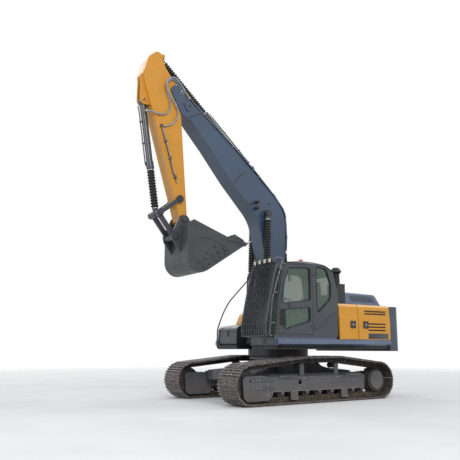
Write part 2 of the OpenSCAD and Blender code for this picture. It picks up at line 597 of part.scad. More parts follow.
// Counterweight: plan and side view, both [along, across or up, corner radius]
CW_PLAN = [[deck_rear_x, -body_half_w, 0], [deck_rear_x, body_half_w, 0], [-2690, body_half_w, 200],
    [cw_rear_x, 1130, 200], [cw_rear_x, -1130, 200], [-2690, -body_half_w, 200]];
CW_SIDE = [[deck_rear_x, cw_bottom, 0], [deck_rear_x, cw_top, 60], [cw_rear_x + 60, cw_top, 170],
    [cw_rear_x, cw_top - 420, 200], [cw_rear_x, cw_bottom + 220, 120], [cw_rear_x + 130, cw_bottom, 80]];
module counterweight() color(slate) intersection() {
    linear_extrude(4000) polygon(outline(CW_PLAN));
    across(-2000, 2000) polygon(outline(CW_SIDE));
}

// Engine room
bay_floor = deck_z + deck_t;
module engine_block() color(dark_iron) translate([-2230, -420, bay_floor]) cube([850, 1000, 800]);
module cooler() color(dark_iron) translate([-1260, 640, bay_floor]) cube([420, 620, 850]);
side_door_y = body_half_w + 28;
// View from the front of a side door: an upright sheet that curves inwards on top: [across, up, corner radius]
side_door_gap = 5;
side_door_flange = 134;
side_door_split_gap = 16;
function side_sheet(top) = [[side_door_y - side_door_t, sill_top + side_door_gap, 0],
    [side_door_y, sill_top + side_door_gap, 0],
    [side_door_y, 1850, 20], [side_door_y - 14, 1885, 20], [side_door_y - 22, top, 110],
    [side_door_y - side_door_flange, top, 0], [side_door_y - side_door_flange, top - side_door_t, 0],
    [side_door_y - 22 - side_door_t, top - side_door_t, 66]];
module side_sheet_between(x0, x1) lengthways(x0, x1) polygon(outline(side_sheet(side_door_top)));
// A side door's pivot stands on the sill
side_pivot_in = [14, 18];
module pivot(x) translate([x, side_door_y - side_pivot_in[1], sill_top + seat_gap])
    cylinder(r = 9, h = side_door_gap + 6, $fn = 32);
module latch(x) translate([x - 85, side_door_y - 1, 1610]) cube([170, 12, 170]);
louvre_rows = [[-2240, 600, 1560], [-2240, 600, 1635], [-2240, 600, 1710], [-2270, 730, 1945], [-2270, 730, 2005]];
module louvres() for (row = louvre_rows) translate([row[0], side_door_y - side_door_t - 100, row[2]])
    cube([row[1], 300, 26]);
rear_door_x = deck_rear_x + 14;
module cooler_door() color(sun_yellow) {
    side_sheet_between(side_door_split + side_door_split_gap / 2, side_door_front);
    pivot(side_door_front - side_pivot_in[0]);
    latch(-1136);
}
module engine_door() color(sun_yellow) {
    difference() {
        side_sheet_between(rear_door_x, side_door_split - side_door_split_gap / 2);
        louvres();
    }
    pivot(rear_door_x + side_pivot_in[0]);
    latch(-1551);
}
module pump_door() color(sun_yellow) mirror([0, 1, 0]) {
    side_sheet_between(rear_door_x, side_door_split - side_door_split_gap / 2);
    pivot(rear_door_x + side_pivot_in[0]);
    latch(-1551);
}
cover_t = 36;
hood_x0 = -2385;
hood_x1 = -1205;
hood_y0 = -560;
hood_y1 = 1100;
cover_y = side_door_y - side_door_flange - 8;
cover_z = side_door_top - side_door_t;
module deck_covers() color(slate) {
    difference() {
        translate([deck_rear_x + 6, -cover_y, cover_z]) cube([side_door_front - deck_rear_x - 6, 2 * cover_y, cover_t]);
        translate([hood_x0 + 60, hood_y0 + 60, cover_z - 10]) cube([hood_x1 - hood_x0 - 120, hood_y1 - hood_y0 - 120, 100]);
        translate([-1331, -2000, cover_z - 1]) cube([700, 2000 - 300, 100]);
    }
    // Bulkheads before and behind the engine
    for (x = [-1345, deck_rear_x + 2]) translate([x, -cover_y, bay_floor]) cube([12, 2 * cover_y, cover_z - bay_floor + 1]);
    translate([side_door_front - 12, 300, bay_floor]) cube([12, cover_y - 300, cover_z - bay_floor + 1]);
}
// Hood: a low box with sloping sides, open below
hood_z = cover_z + cover_t + seat_gap;
HOOD_SIDE = [[hood_x0, hood_z, 0], [hood_x1, hood_z, 0], [hood_x1, hood_top, 90],
    [hood_x0 + 130, hood_top - 30, 90]];
HOOD_FRONT = [[hood_y0, hood_z, 0], [hood_y1, hood_z, 0], [hood_y1 - 100, hood_top + 20, 90],
    [hood_y0 + 40, hood_top + 20, 90]];
hood_wall = 20;
hood_hinge_r = 11;
hood_hinge = [hood_x0 - 6, hood_z + hood_hinge_r + 1];
module engine_hood() color(slate) difference() {
    union() {
        intersection() {
            across(hood_y0, hood_y1) polygon(outline(HOOD_SIDE));
            lengthways(hood_x0, hood_x1) polygon(outline(HOOD_FRONT));
        }
        for (y = [-360, 680]) bar_y(hood_hinge, hood_hinge_r, y, y + 120);
    }
    intersection() {
        across(hood_y0 + hood_wall, hood_y1 - hood_wall) polygon(outline(inset(HOOD_SIDE, hood_wall)));
        lengthways(hood_x0, hood_x1) polygon(outline(inset(HOOD_FRONT, hood_wall)));
    }
    translate([hood_x0 + hood_wall, hood_y0 + hood_wall, cover_z])
        cube([hood_x1 - hood_x0 - 2 * hood_wall, hood_y1 - hood_y0 - 2 * hood_wall, 40 + 2 * hood_wall]);
    for (i = [0 : 11]) across(hood_y1 - 120, hood_y1 + 20) translate([hood_x0 + 200 + i * 66, 2260])
        polygon([[0, 0], [28, 0], [88, 150], [60, 150]]);
}
// Tanks and tool box on the side away from the cab
fuel_top = [890, 870];
FUEL_TANK = [[-560, 0, 0], [310, 0, 40], [300, 560, 200], [160, fuel_top[1], 200], [-560, fuel_top[0], 30]];
// The sill's space, which the tanks and the tool box leave free
module sill_room() translate([-2000, -body_half_w - 100, bay_floor - 10])
    cube([4000, 141 + side_gap, sill_top + seat_gap - bay_floor + 10]);
module fuel_tank() color(sun_yellow) difference() {
    translate([0, 0, bay_floor]) intersection() {
        across(-body_half_w - 20, -500) polygon(outline(FUEL_TANK));
        lengthways(-600, 400) polygon(outline([[-body_half_w - 20, 140, 0], [-body_half_w + 20, 0, 0],
            [-500, 0, 0], [-500, 900, 60], [-body_half_w + 10, 900, 160]]));
    }
    sill_room();
}
module hydraulic_tank() color(slate) difference() {
    lengthways(-1310, -565) polygon(outline([[-body_half_w - 20, bay_floor + 140, 0], [-body_half_w + 20, bay_floor, 0],
        [-320, bay_floor, 0], [-320, side_door_top, 60], [-body_half_w + 10, side_door_top, 160]]));
    sill_room();
}
box_top = [530, 460];
TOOL_BOX = [[317, 0, 0], [850, 0, 60], [830, box_top[1], 130], [317, box_top[0], 40]];
box_inner_y = -520;
module tool_box() color(slate) difference() {
    translate([0, 0, bay_floor]) intersection() {
        across(-body_half_w - 10, box_inner_y) polygon(outline(TOOL_BOX));
        lengthways(200, 1100) polygon(outline([[-body_half_w - 10, 150, 0], [-body_half_w + 30, 0, 0],
            [box_inner_y, 0, 0], [box_inner_y, 540, 50], [-body_half_w - 10, 540, 90]]));
    }
    sill_room();
}
module air_cleaner() color(dark_iron) {
    translate([-1180, 770, cover_z + 36]) cube([260, 330, 480]);
    translate([-1060, 930, cover_z + 515]) cylinder(r = 85, h = 236, $fn = 40);
    translate([-1060, 930, cover_z + 750]) cylinder(r = 55, h = 61, $fn = 40);
    translate([-1060, 930, cover_z + 810]) cylinder(r1 = 130, r2 = 80, h = 105, $fn = 40);
    // Exhaust stack
    translate([-1110, 250, cover_z + 36]) cylinder(r = 60, h = 480, $fn = 40);
    translate([-1110, 250, cover_z + 515]) cylinder(r = 48, h = 120, $fn = 40);
}
rail_tube_r = 17;
// Height of a sloping top between its rear and front corner, under the rear edge of a foot at x
function slope_z(a, b, x) = bay_floor + a[1] + (b[1] - a[1]) * (x - rail_tube_r - a[0]) / (b[0] - a[0]) + seat_gap;
function fuel_z(x) = slope_z(FUEL_TANK[4], FUEL_TANK[3], x);
walk_y = -600;
// The front rail stands on the sill's top
front_rail_y = -body_half_w;
module handrails() color(dark_iron) {
    hose(bent([[872, front_rail_y, sill_top + seat_gap], [872, front_rail_y, 1620], [701, front_rail_y, 2032],
        [519, front_rail_y, 2330], [-94, front_rail_y, 2950], [-700, front_rail_y, 2950],
        [-760, front_rail_y + 190, 2400], [-760, front_rail_y + 190, side_door_top + seat_gap]], 90), rail_tube_r);
    hose(bent([[-120, walk_y, fuel_z(-120)], [-120, walk_y, 2420], [-900, walk_y, 2420],
        [-900, walk_y, side_door_top + seat_gap]], 90), rail_tube_r);
}

// Boom: side view along its own line, anticlockwise: [along, up, corner radius]
BOOM = [[-120, -60, 100], [120, -130, 100], [1400, 350, 500], [2300, 620, 900], [3400, 342, 0], [4269, 186, 0],
    [5010, 20, 60], [5196, -122, 40], [5700, -115, 0], [5815, 0, 0], [5780, 90, 0], [5640, 120, 60],
    [5093, 357, 0], [4090, 790, 0], [3196, 1121, 600], [2100, 1480, 800], [1137, 889, 0], [-40, 130, 100]];
elbow_r = 115;
elbow_pin_r = 52;
fork_inner = boom_w / 2 - fork_t;
// The space between the fork's ears
FORK = [[5125, -300, 0], [6000, -300, 0], [6000, 500, 0], [5385, 500, 0]];
arm_cyl_ear_y = 52;
// The bosses for the boom cylinders end where the rods' collars begin
rod_collar_t = 14;
rod_collar_r = rod_r + rod_collar_t;
boom_boss_y = boom_cyl_y - rod_r - rod_collar_t - side_gap;
module boom() color(boom_blue) at_boom() {
    difference() {
        union() {
            across(-boom_w / 2, boom_w / 2) polygon(outline(BOOM));
            bar_y([0, 0], 135, -boom_w / 2 - 6, boom_w / 2 + 6);
            bar_y(boom_cyl_top, 105, -boom_boss_y, boom_boss_y);
        }
        bar_y([0, 0], foot_pin_r + pin_gap, -boom_w, boom_w);
        across(-fork_inner, fork_inner) polygon(outline(FORK));
        // Recesses that leave flanges along the underside and the top
        across(-boom_w / 2 + 30, boom_w / 2 - 30) polygon([[300, -300], [1400, 300], [2300, 560], [3400, 320],
            [4269, 160], [5000, 0], [5000, -400], [300, -400]]);
    }
    // Elbow pin with its bosses
    bar_y([boom_l, 0], elbow_pin_r, -boom_w / 2 - 10, boom_w / 2 + 10);
    both_sides() bar_y([boom_l, 0], elbow_r, fork_inner, boom_w / 2 + 4);
    // Ears and pin of the arm cylinder
    both_sides() across(arm_cyl_ear_y, arm_cyl_ear_y + 32) polygon(outline([[3150, 1080, 0], [3480, 985, 0],
        [3476, 1050, 0], [3505, 1140, 40], [3480, 1255, 70], [3350, 1255, 70]]));
    bar_y(arm_cyl_base, pin_r, -arm_cyl_ear_y - 40, arm_cyl_ear_y + 40);
    // Blocks that carry the pipes
    for (i = [1 : 6]) pipe_block(i, 1);
    for (i = [1 : 4]) pipe_block(i, -1);
    // Stop blocks on the fork
    both_sides() across(boom_w / 2 - 1, boom_w / 2 + 22) polygon(outline([[5180, 40, 20], [5400, 40, 20],
        [5400, 120, 20], [5180, 120, 20]]));
}
// Pipes along the top of the boom: both pairs start at the foot, and one goes on to the elbow
PIPE_LINE = [[1200, 990], [1700, 1290], [2250, 1465], [3196, 1190], [3400, 1120], [4090, 845], [5093, 405], [5500, 240]];
pipe_ys = [120, 165];
pipe_r = 17;
pipe_lift = 22;
pipe_block_h = 110;
module pipe_block(i, side) {
    d = PIPE_LINE[i + 1] - PIPE_LINE[i - 1];
    y = (pipe_ys[0] + pipe_ys[1]) / 2;
    translate([PIPE_LINE[i][0], side * y, PIPE_LINE[i][1] + pipe_lift]) rotate([0, -atan2(d[1], d[0]), 0])
        translate([-13, -47, -pipe_block_h]) cube([26, 94, pipe_block_h - pipe_r - 1.4]);
}
function pipe_points(y, n) = [for (i = [0 : n - 1]) [PIPE_LINE[i][0], y, PIPE_LINE[i][1] + pipe_lift]];
module boom_pipes() color(dark_iron) at_boom() for (y = pipe_ys) {
    hose(smooth(pipe_points(y, 8), 3), pipe_r);
    hose(smooth(pipe_points(-y, 6), 3), pipe_r);
}
module boom_lamp() color(lamp_white) at_boom() both_sides() translate([2660, boom_w / 2, 760]) {
    translate([-40, 0, -40]) cube([80, 12, 80]);
    translate([0, 11, 0]) rotate([-90, 0, 0]) cylinder(r = 22, h = 40, $fn = 32);
    translate([-30, 95, 0]) rotate([0, 90, 0]) cylinder(r = 55, h = 75, $fn = 40);
}

// Cylinders lie along +X from their base pin, in a frame that turns with them
module along(a, b) {
    d = b - a;
    translate([a[0], 0, a[1]]) rotate([0, -atan2(d[1], d[0]), 0]) children();
}
boom_cyl_end = from_boom(boom_cyl_top);
arm_cyl_a = from_boom(arm_cyl_base);
arm_cyl_b = from_arm(arm_cyl_top);
bucket_cyl_a = from_arm(bucket_cyl_base);
bucket_cyl_b = from_arm(link_joint);
boom_cyl_l = norm(boom_cyl_end - boom_cyl_base);
arm_cyl_l = norm(arm_cyl_b - arm_cyl_a);
bucket_cyl_l = norm(bucket_cyl_b - bucket_cyl_a);
// Barrel lengths, from the base pin to the gland's face
boom_barrel_l = 1650;
arm_barrel_l = 1710;
bucket_barrel_l = 1515;
// Lengths of rod inside the barrels at rest
boom_engaged_l = 300;
arm_engaged_l = 230;
bucket_engaged_l = 420;
// Length of the narrow neck between a barrel and its eye
neck_l = 14;
module barrel(r, l, eye_half, eye_r) difference() {
    union() {
        bar_y([0, 0], eye_r, -eye_half, eye_half);
        translate([eye_r + neck_l, 0, 0]) rotate([0, 90, 0]) cylinder(r = r, h = l - eye_r - neck_l, $fn = 48);
        translate([l - 170, 0, 0]) rotate([0, 90, 0]) cylinder(r = r + 12, h = 150, $fn = 48);
        translate([eye_r - 30, -eye_half + 4, -r + 24]) cube([neck_l + 40, 2 * eye_half - 8, 2 * r - 48]);
    }
    bar_y([0, 0], pin_r + pin_gap, -eye_half - 1, eye_half + 1);
    translate([eye_r + 45, 0, 0]) rotate([0, 90, 0]) cylinder(r = rod_r + pin_gap, h = l, $fn = 48);
}
// Distance from the rod's pin to the end of its boot, where the rod has a collar
boot_end = 112;
module rod(l, barrel_l, engaged_l, eye_half, eye_r) {
    translate([barrel_l - engaged_l, 0, 0]) rotate([0, 90, 0])
        cylinder(r = rod_r, h = l - barrel_l + engaged_l - eye_r + 20, $fn = 48);
    translate([l - boot_end + seat_gap, 0, 0]) rotate([0, 90, 0])
        cylinder(r = rod_r + rod_collar_t, h = boot_end - eye_r + 20, $fn = 48);
    bar_y([l, 0], eye_r, -eye_half, eye_half);
}
// Ribbed rubber boot round a rod
boot_pitch = 62;
module boot(x0, x1, r) {
    n = round((x1 - x0) / boot_pitch);
    step = (x1 - x0) / n;
    translate([x0, 0, 0]) rotate([0, 90, 0]) rotate_extrude($fn = 40) polygon(concat(
        [[rod_r + 4, 0]], [for (i = [0 : n - 1]) each [[r - 24, step * i], [r, step * (i + 0.5)]]],
        [[r - 24, step * n], [rod_r + 4, step * n]]));
}
eye_r = 84;
module boom_cylinders() color(slate) along(boom_cyl_base, boom_cyl_end) both_sides() translate([0, boom_cyl_y, 0])
    barrel(boom_cyl_r, boom_barrel_l, cyl_eye_half, eye_r);
module boom_rods() color(chrome_rod) along(boom_cyl_base, boom_cyl_end) both_sides() translate([0, boom_cyl_y, 0]) {
    rod(boom_cyl_l, boom_barrel_l, boom_engaged_l, cyl_eye_half, eye_r);
    bar_y([boom_cyl_l, 0], pin_r + 14, -rod_r - rod_collar_t, cyl_eye_half + 16);
}
module boom_boots() color(rubber) along(boom_cyl_base, boom_cyl_end) both_sides() translate([0, boom_cyl_y, 0])
    boot(boom_barrel_l + seat_gap, boom_cyl_l - boot_end, 90);
arm_eye_half = 48;
module arm_cylinder() color(slate) along(arm_cyl_a, arm_cyl_b) barrel(arm_cyl_r, arm_barrel_l, arm_eye_half, eye_r);
module arm_rod() color(chrome_rod) along(arm_cyl_a, arm_cyl_b) rod(arm_cyl_l, arm_barrel_l, arm_engaged_l, arm_eye_half, eye_r);
module arm_boot() color(rubber) along(arm_cyl_a, arm_cyl_b) boot(arm_barrel_l + seat_gap, arm_cyl_l - boot_end, 84);
bucket_eye_half = 60;
// Port of the bucket cylinder, where one of the arm's hoses ends
port_at = [250, 0];
port_end_y = 92;
module bucket_cylinder() color(slate) along(bucket_cyl_a, bucket_cyl_b) {
    barrel(bucket_cyl_r, bucket_barrel_l, bucket_eye_half, eye_r);
    bar_y(port_at, 22, rod_r + 5, port_end_y);
}
module bucket_rod() color(chrome_rod) along(bucket_cyl_a, bucket_cyl_b)
    rod(bucket_cyl_l, bucket_barrel_l, bucket_engaged_l, bucket_eye_half, eye_r);
module bucket_boot() color(rubber) along(bucket_cyl_a, bucket_cyl_b)
    boot(bucket_barrel_l + seat_gap, bucket_cyl_l - boot_end, 88);

// Arm: side view along its own line, anticlockwise: [along, up, corner radius]
ARM = [[-40, -118, 60], [480, -107, 0], [2790, -92, 0], [3010, -88, 60], [3010, 70, 60], [2883, 86, 30],
    [2266, 216, 0], [751, 536, 0], [197, 660, 0], [-290, 765, 90], [-700, 600, 150], [-850, 400, 110],
    [-820, 300, 40], [-503, 205, 0], [-233, 26, 120]];
// Ears of the bucket cylinder
ARM_EARS = [[-280, 700, 0], [392, 590, 0], [388, 780, 60], [300, 830, 60], [230, 830, 60], [-300, 775, 0]];
// Slot in which the arm cylinder's eye sits
ARM_SLOT = [[-1000, -40], [-330, -40], [-330, 190], [-385, 265], [-450, 325], [-560, 375], [-1000, 375]];
arm_pin_r = 50;
module arm() color(sun_yellow) at_arm() {
    difference() {
        union() {
            across(-arm_w / 2, arm_w / 2) polygon(outline(ARM));
            bar_y([0, 0], 125, -arm_w / 2, arm_w / 2);
            bar_y([arm_l, 0], 96, -arm_w / 2, arm_w / 2);
            both_sides() across(bucket_eye_half + 4, bucket_eye_half + 40) polygon(outline(ARM_EARS));
        }
        bar_y([0, 0], elbow_pin_r + pin_gap, -arm_w, arm_w);
        bar_y([arm_l, 0], arm_pin_r + pin_gap, -arm_w, arm_w);
        across(-arm_eye_half - 4, arm_eye_half + 4) polygon(ARM_SLOT);
        // Wider room for the collar of the arm cylinder's rod
        across(-rod_collar_r - 4, rod_collar_r + 4) difference() {
            polygon(ARM_SLOT);
            translate(arm_cyl_top) circle(r = eye_r + 4);
        }
        // Slot under the bucket cylinder's base
        across(-bucket_eye_half - 4, bucket_eye_half + 4) polygon([[140, 640], [620, 640], [620, 900], [140, 900]]);
    }
    bar_y(bucket_cyl_base, pin_r, -bucket_eye_half - 48, bucket_eye_half + 48);
    both_sides() {
        bar_y(arm_cyl_top, pin_r, arm_eye_half + side_gap, arm_w / 2 + 12);
        bar_y(link_pin, 88, arm_w / 2 - 1, arm_w / 2 + 6);
        bar_y(link_pin, arm_pin_r, arm_w / 2, arm_w / 2 + 76);
    }
}
arm_pipe_y = arm_w / 2 + 22;
ARM_PIPE = [[862, 400], [1570, 244], [1880, 193], [2067, 113]];
arm_pipe_block = 28;
module arm_pipe() color(sun_yellow) at_arm() {
    hose(bent([for (p = ARM_PIPE) [p[0], arm_pipe_y, p[1]]], 40), 18);
    for (p = [ARM_PIPE[0], [1200, 325], ARM_PIPE[1], [1980, 150]])
        translate([p[0] - arm_pipe_block, arm_w / 2 + seat_gap, p[1] - arm_pipe_block])
            cube([2 * arm_pipe_block, 44, 2 * arm_pipe_block]);
}
// Hoses that cross the elbow: route points by hand, in the arm's frame
HOSE_A = [[69, 120.2, -320], [-30, 135, -225], [-150, 162, -115], [-235, 190, -10], [-232, 198, 105],
    [-140, 200, 200], [20, 200, 225], [185, 200, 190], [340, 200, 165], [480, 200, 195], [580, 200, 295],
    [614, 205, 420], [600, 225, 540], [585, 226, 610], [570, 203, 675], [555, 160, 714], [550.5, 125, 723.5],
    [550.5, 93, 723.5]];
HOSE_B = [[68.5, 165.4, -319.4], [-30, 187, -237], [-160, 222, -125], [-262, 240, 0], [-262, 240, 120],
    [-150, 240, 232], [10, 240, 240], [142, 236, 168], [250, 232, 99], [340, 228, 35], [480, 220, -12],
    [600, 212, 0], [700, 206, 50], [788, 202, 139], [840, 196, 250], [858, 192, 320], [862, 192, 370.6]];
hose_r = 17;
module arm_hoses() color(hose_silver) at_arm() {
    hose(smooth(HOSE_A, 2), hose_r, [0.3, 0.75, -0.6]);
    hose(smooth(HOSE_B, 2), hose_r);
}

// Bucket links
side_link_y = arm_w / 2 + 8;
side_link_t = 62;
h_link_y0 = bucket_eye_half + side_gap;
h_link_y1 = side_link_y - side_gap;
ear_y = arm_w / 2 + 10;
ear_t = 44;
module side_links() color(slate) at_arm() both_sides() difference() {
    union() {
        bar_y(link_pin, 82, side_link_y, side_link_y + side_link_t);
        bar_y(link_joint, 78, side_link_y, side_link_y + side_link_t);
        bar_y(link_joint, 48, side_link_y + side_link_t - 1, side_link_y + side_link_t + 18);
        d = link_joint - link_pin;
        along(link_pin, link_joint) translate([0, side_link_y + 8, -48]) cube([norm(d), side_link_t - 16, 96]);
    }
    bar_y(link_pin, arm_pin_r + pin_gap, side_link_y - 1, side_link_y + side_link_t + 1);
}
module h_link() color(slate) {
    j = from_arm(link_joint);
    k = bucket_pin + bucket_link_pin;
    d = k - j;
    bar_t = 56;
    difference() {
        union() {
            both_sides() {
                bar_y(j, 76, h_link_y0, h_link_y1);
                along(j, k) translate([0, h_link_y1 - bar_t - 12, -52]) cube([norm(d), bar_t, 104]);
            }
            bar_y(k, 74, -h_link_y1, h_link_y1);
        }
        bar_y(k, pin_r + pin_gap, -boom_w, boom_w);
    }
}

// Bucket: side view round its pin, anticlockwise: [along, up, corner radius]
BUCKET = [[-1400, -474, 0], [85, -1442, 310], [85, -150, 60], [-60, -50, 30], [-940, -352, 0], [-1380, -440, 0]];
bucket_half = bucket_w / 2;
bucket_rise = 42;
BUCKET_EAR = [[-190, -95, 20], [-70, 90, 80], [90, 85, 80], [305, -360, 70], [275, -490, 70], [74, -760, 0], [74, -200, 40]];
module bucket() color(slate) at_bucket() {
    difference() {
        across(-bucket_half, bucket_half) polygon(outline(BUCKET));
        // Room for the arm's end between the ears
        bar_y([0, 0], 205, -ear_y, ear_y);
        // The hollow, open along the mouth
        across(-bucket_half + bucket_side_t, bucket_half - bucket_side_t) polygon(outline([
            [-1500, -384, 0], [85 - bucket_back_t, -1442 + bucket_rise, 290], [85 - bucket_back_t, -190, 40],
            [-80, -84, 0], [-200, 60, 0], [-1500, -200, 0]]));
    }
    both_sides() {
        across(ear_y, ear_y + ear_t) polygon(outline(BUCKET_EAR));
        // Side cutter and wear strips
        across(bucket_half - 1, bucket_half + 20) polygon(outline([[-900, -420, 20], [-1380, -465, 10],
            [-1330, -375, 20], [-1090, -270, 20], [-930, -330, 20]]));
        for (x = [-860, -620]) across(bucket_half - 1, bucket_half + 12) polygon([[x, x * -0.652 - 1347],
            [x + 200, x * -0.652 - 1477], [x + 220, x * -0.652 - 1440], [x + 20, x * -0.652 - 1310]]);
    }
    bar_y([0, 0], arm_pin_r, -ear_y - ear_t - 14, ear_y + ear_t + 14);
    bar_y(bucket_link_pin, pin_r, -ear_y - ear_t - 12, ear_y + ear_t + 12);
}
module bucket_teeth() color(worn_steel) at_bucket() for (i = [0 : tooth_n - 1]) {
    y = -bucket_half + tooth_w / 2 + (bucket_w - tooth_w) * i / (tooth_n - 1);
    across(y - tooth_w / 2, y + tooth_w / 2) polygon([[-1400.3, -505], [-1400.3, -420], [-1445, -414], [-1560, -368],
        [-1548, -385], [-1460, -465]]);
}

car_body();
swing_race_lower();
side_frame_left();
side_frame_right();
track_left();
track_right();
idlers();
final_drives();
track_rollers();
carrier_rollers();
platform();
cab_shell();
cab_glass();
cab_seat();
cab_controls();
front_guard();
work_lamps();
beacon();
counterweight();
engine_block();
cooler();
deck_covers();
fuel_tank();
hydraulic_tank();
tool_box();
air_cleaner();
handrails();
cab_door();
door_glass();
cooler_door();
engine_door();
pump_door();
engine_hood();
boom();
boom_pipes();
boom_lamp();
boom_cylinders();
boom_rods();
boom_boots();
arm_cylinder();
arm_rod();
arm_boot();
arm();
arm_pipe();
arm_hoses();
bucket_cylinder();
bucket_rod();
bucket_boot();
side_links();
h_link();
bucket();
bucket_teeth();
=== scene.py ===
"""Looks of a crawler excavator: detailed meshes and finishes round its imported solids.

Shapes are worked out in millimetres and become metres when a mesh is made. +X is the way the bucket
digs, +Y the cab side, +Z up, and the origin lies on the ground under the swing axis.
"""

import logging
import math
from collections.abc import Callable, Sequence
from dataclasses import dataclass, field
from enum import Enum

import bpy
import numpy as np
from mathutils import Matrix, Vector


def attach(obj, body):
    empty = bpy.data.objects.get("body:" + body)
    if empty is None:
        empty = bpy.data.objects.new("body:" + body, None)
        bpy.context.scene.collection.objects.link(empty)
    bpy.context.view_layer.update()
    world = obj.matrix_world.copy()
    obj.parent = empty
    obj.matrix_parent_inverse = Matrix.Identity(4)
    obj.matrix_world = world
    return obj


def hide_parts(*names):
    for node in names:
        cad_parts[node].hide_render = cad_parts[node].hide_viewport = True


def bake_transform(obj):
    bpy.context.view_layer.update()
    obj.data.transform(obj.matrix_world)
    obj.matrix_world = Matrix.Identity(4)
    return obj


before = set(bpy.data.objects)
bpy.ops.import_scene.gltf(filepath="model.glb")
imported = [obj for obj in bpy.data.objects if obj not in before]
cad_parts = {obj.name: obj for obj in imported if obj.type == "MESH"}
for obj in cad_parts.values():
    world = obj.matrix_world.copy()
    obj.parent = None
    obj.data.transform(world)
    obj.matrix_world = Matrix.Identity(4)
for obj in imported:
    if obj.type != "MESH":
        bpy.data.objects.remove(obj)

Array = np.ndarray
Socket = bpy.types.NodeSocket
Rows = Array | Sequence[Sequence[float]]
LOG = logging.getLogger("excavator")
METRE = 0.001
ACROSS = np.array([0.0, 1.0, 0.0])
UPWARDS = np.array([0.0, 0.0, 1.0])
FORWARD = np.array([1.0, 0.0, 0.0])


# Shapes


def unit(v: Array) -> Array:
    """Vectors scaled to a length of one along the last axis."""
    return v / np.maximum(np.linalg.norm(v, axis=-1, keepdims=True), 1e-12)


@dataclass
class Shape:
    """Vertices and faces in millimetres.

    quads has rows of four vertex numbers. Each array in caps has rows of as many numbers as its faces have
    corners.
    """

    verts: Array
    quads: Array
    caps: list[Array] = field(default_factory=list)

    def flipped(self) -> "Shape":
        """The same faces with their other side out."""
        return Shape(self.verts, self.quads[:, ::-1], [c[:, ::-1] for c in self.caps])

    def outward(self) -> "Shape":
        """The shape with its faces turned outwards.

        The signed volume is the sum of the tetrahedra between a middle point and each face, which is fanned
        from its first corner.

        Returns:
            The shape itself, or its flipped form where the volume is negative.
        """
        v, total = self.verts - self.verts.mean(0), 0.0
        for rows in (self.quads, *self.caps):
            for k in range(1, rows.shape[1] - 1):
                total += np.einsum("ij,ij->", v[rows[:, 0]], np.cross(v[rows[:, k]], v[rows[:, k + 1]]))
        return self.flipped() if total < 0 else self

    def moved(self, x: float = 0.0, y: float = 0.0, z: float = 0.0) -> "Shape":
        """The shape shifted by (x, y, z)."""
        return Shape(self.verts + np.array([x, y, z]), self.quads, self.caps)

    def mirrored(self) -> "Shape":
        """The shape on the other side of the machine's middle plane: y changes its sign."""
        return Shape(self.verts * np.array([1.0, -1.0, 1.0]), self.quads, self.caps).flipped()

    def both(self) -> "Shape":
        """The shape and its mirrored form."""
        return joined([self, self.mirrored()])

    def repeated(self, places: Array, turns: Array | None = None) -> "Shape":
        """Copies of the shape.

        Args:
            places: one row of (x, y, z) for each copy.
            turns: one 3 by 3 matrix for each copy, applied before the shift.
        """
        turned = self.verts[None] if turns is None else np.einsum("kij,nj->kni", turns, self.verts)
        step = (np.arange(len(places)) * len(self.verts))[:, None, None]
        return Shape((turned + np.asarray(places)[:, None]).reshape(-1, 3),
                     (self.quads[None] + step).reshape(-1, 4),
                     [(c[None] + step).reshape(-1, c.shape[1]) for c in self.caps]).outward()

    def spaced(self, xs: Sequence[float], ys: Sequence[float] = (0.0,)) -> "Shape":
        """Copies of the shape shifted by each pair of these distances along X and Y."""
        return self.repeated(np.array([[x, y, 0.0] for x in xs for y in ys]))


def joined(parts: Sequence[Shape]) -> Shape:
    """Several shapes as one."""
    starts = np.cumsum([0] + [len(p.verts) for p in parts])
    return Shape(np.concatenate([p.verts for p in parts]),
                 np.concatenate([p.quads + s for p, s in zip(parts, starts)]),
                 [c + s for p, s in zip(parts, starts) for c in p.caps])


def surface(points: Array, loop_u: bool = False) -> Shape:
    """A closed surface through a grid of points, whose second direction closes on itself.

    Args:
        points: array of (rings, points in a ring, 3).
        loop_u: the last ring joins the first; otherwise both end rings get a flat cap.
    """
    nu, nv = points.shape[:2]
    u, v = np.arange(nu if loop_u else nu - 1)[:, None], np.arange(nv)[None, :]
    rows = [(i % nu) * nv + j % nv for i, j in ((u, v), (u + 1, v), (u + 1, v + 1), (u, v + 1))]
    quads = np.stack(np.broadcast_arrays(*rows), -1).reshape(-1, 4)
    ring = np.arange(nv)[None]
    caps = [] if loop_u else [ring, (nu - 1) * nv + ring[:, ::-1]]
    return Shape(points.reshape(-1, 3).astype(float), quads, caps).outward()


def circle(radius: float | Array, sides: int) -> Array:
    """Points of a circle, or of one circle for each radius."""
    a = np.arange(sides) * 2 * np.pi / sides
    return np.asarray(radius)[..., None, None] * np.stack([np.cos(a), np.sin(a)], -1)


def swept(path: Rows, profile: Rows, level: Array | None = None, loop: bool = False) -> Shape:
    """A profile carried along a path.

    At each point the profile's first column runs along the cross product of the path and `level`, and its
    second column square to that and to the path. Without `level` it is the direction in which the path runs
    least.

    Args:
        path: rows of (x, y, z).
        profile: rows of two numbers, or one such table for each point of the path.
        level: direction of the second column.
        loop: the path closes on itself.
    """
    path = np.asarray(path, float)
    ahead = np.roll(path, -1, 0) - np.roll(path, 1, 0)
    if not loop:
        ahead[0], ahead[-1] = path[1] - path[0], path[-1] - path[-2]
    t = unit(ahead)
    level = np.linalg.svd(t)[2][-1] if level is None else np.asarray(level, float)
    side = unit(np.cross(t, level))
    up = np.cross(side, t)
    p = np.broadcast_to(profile, (len(path), *np.shape(profile)[-2:]))
    return surface(path[:, None] + p[..., :1] * side[:, None] + p[..., 1:] * up[:, None], loop)


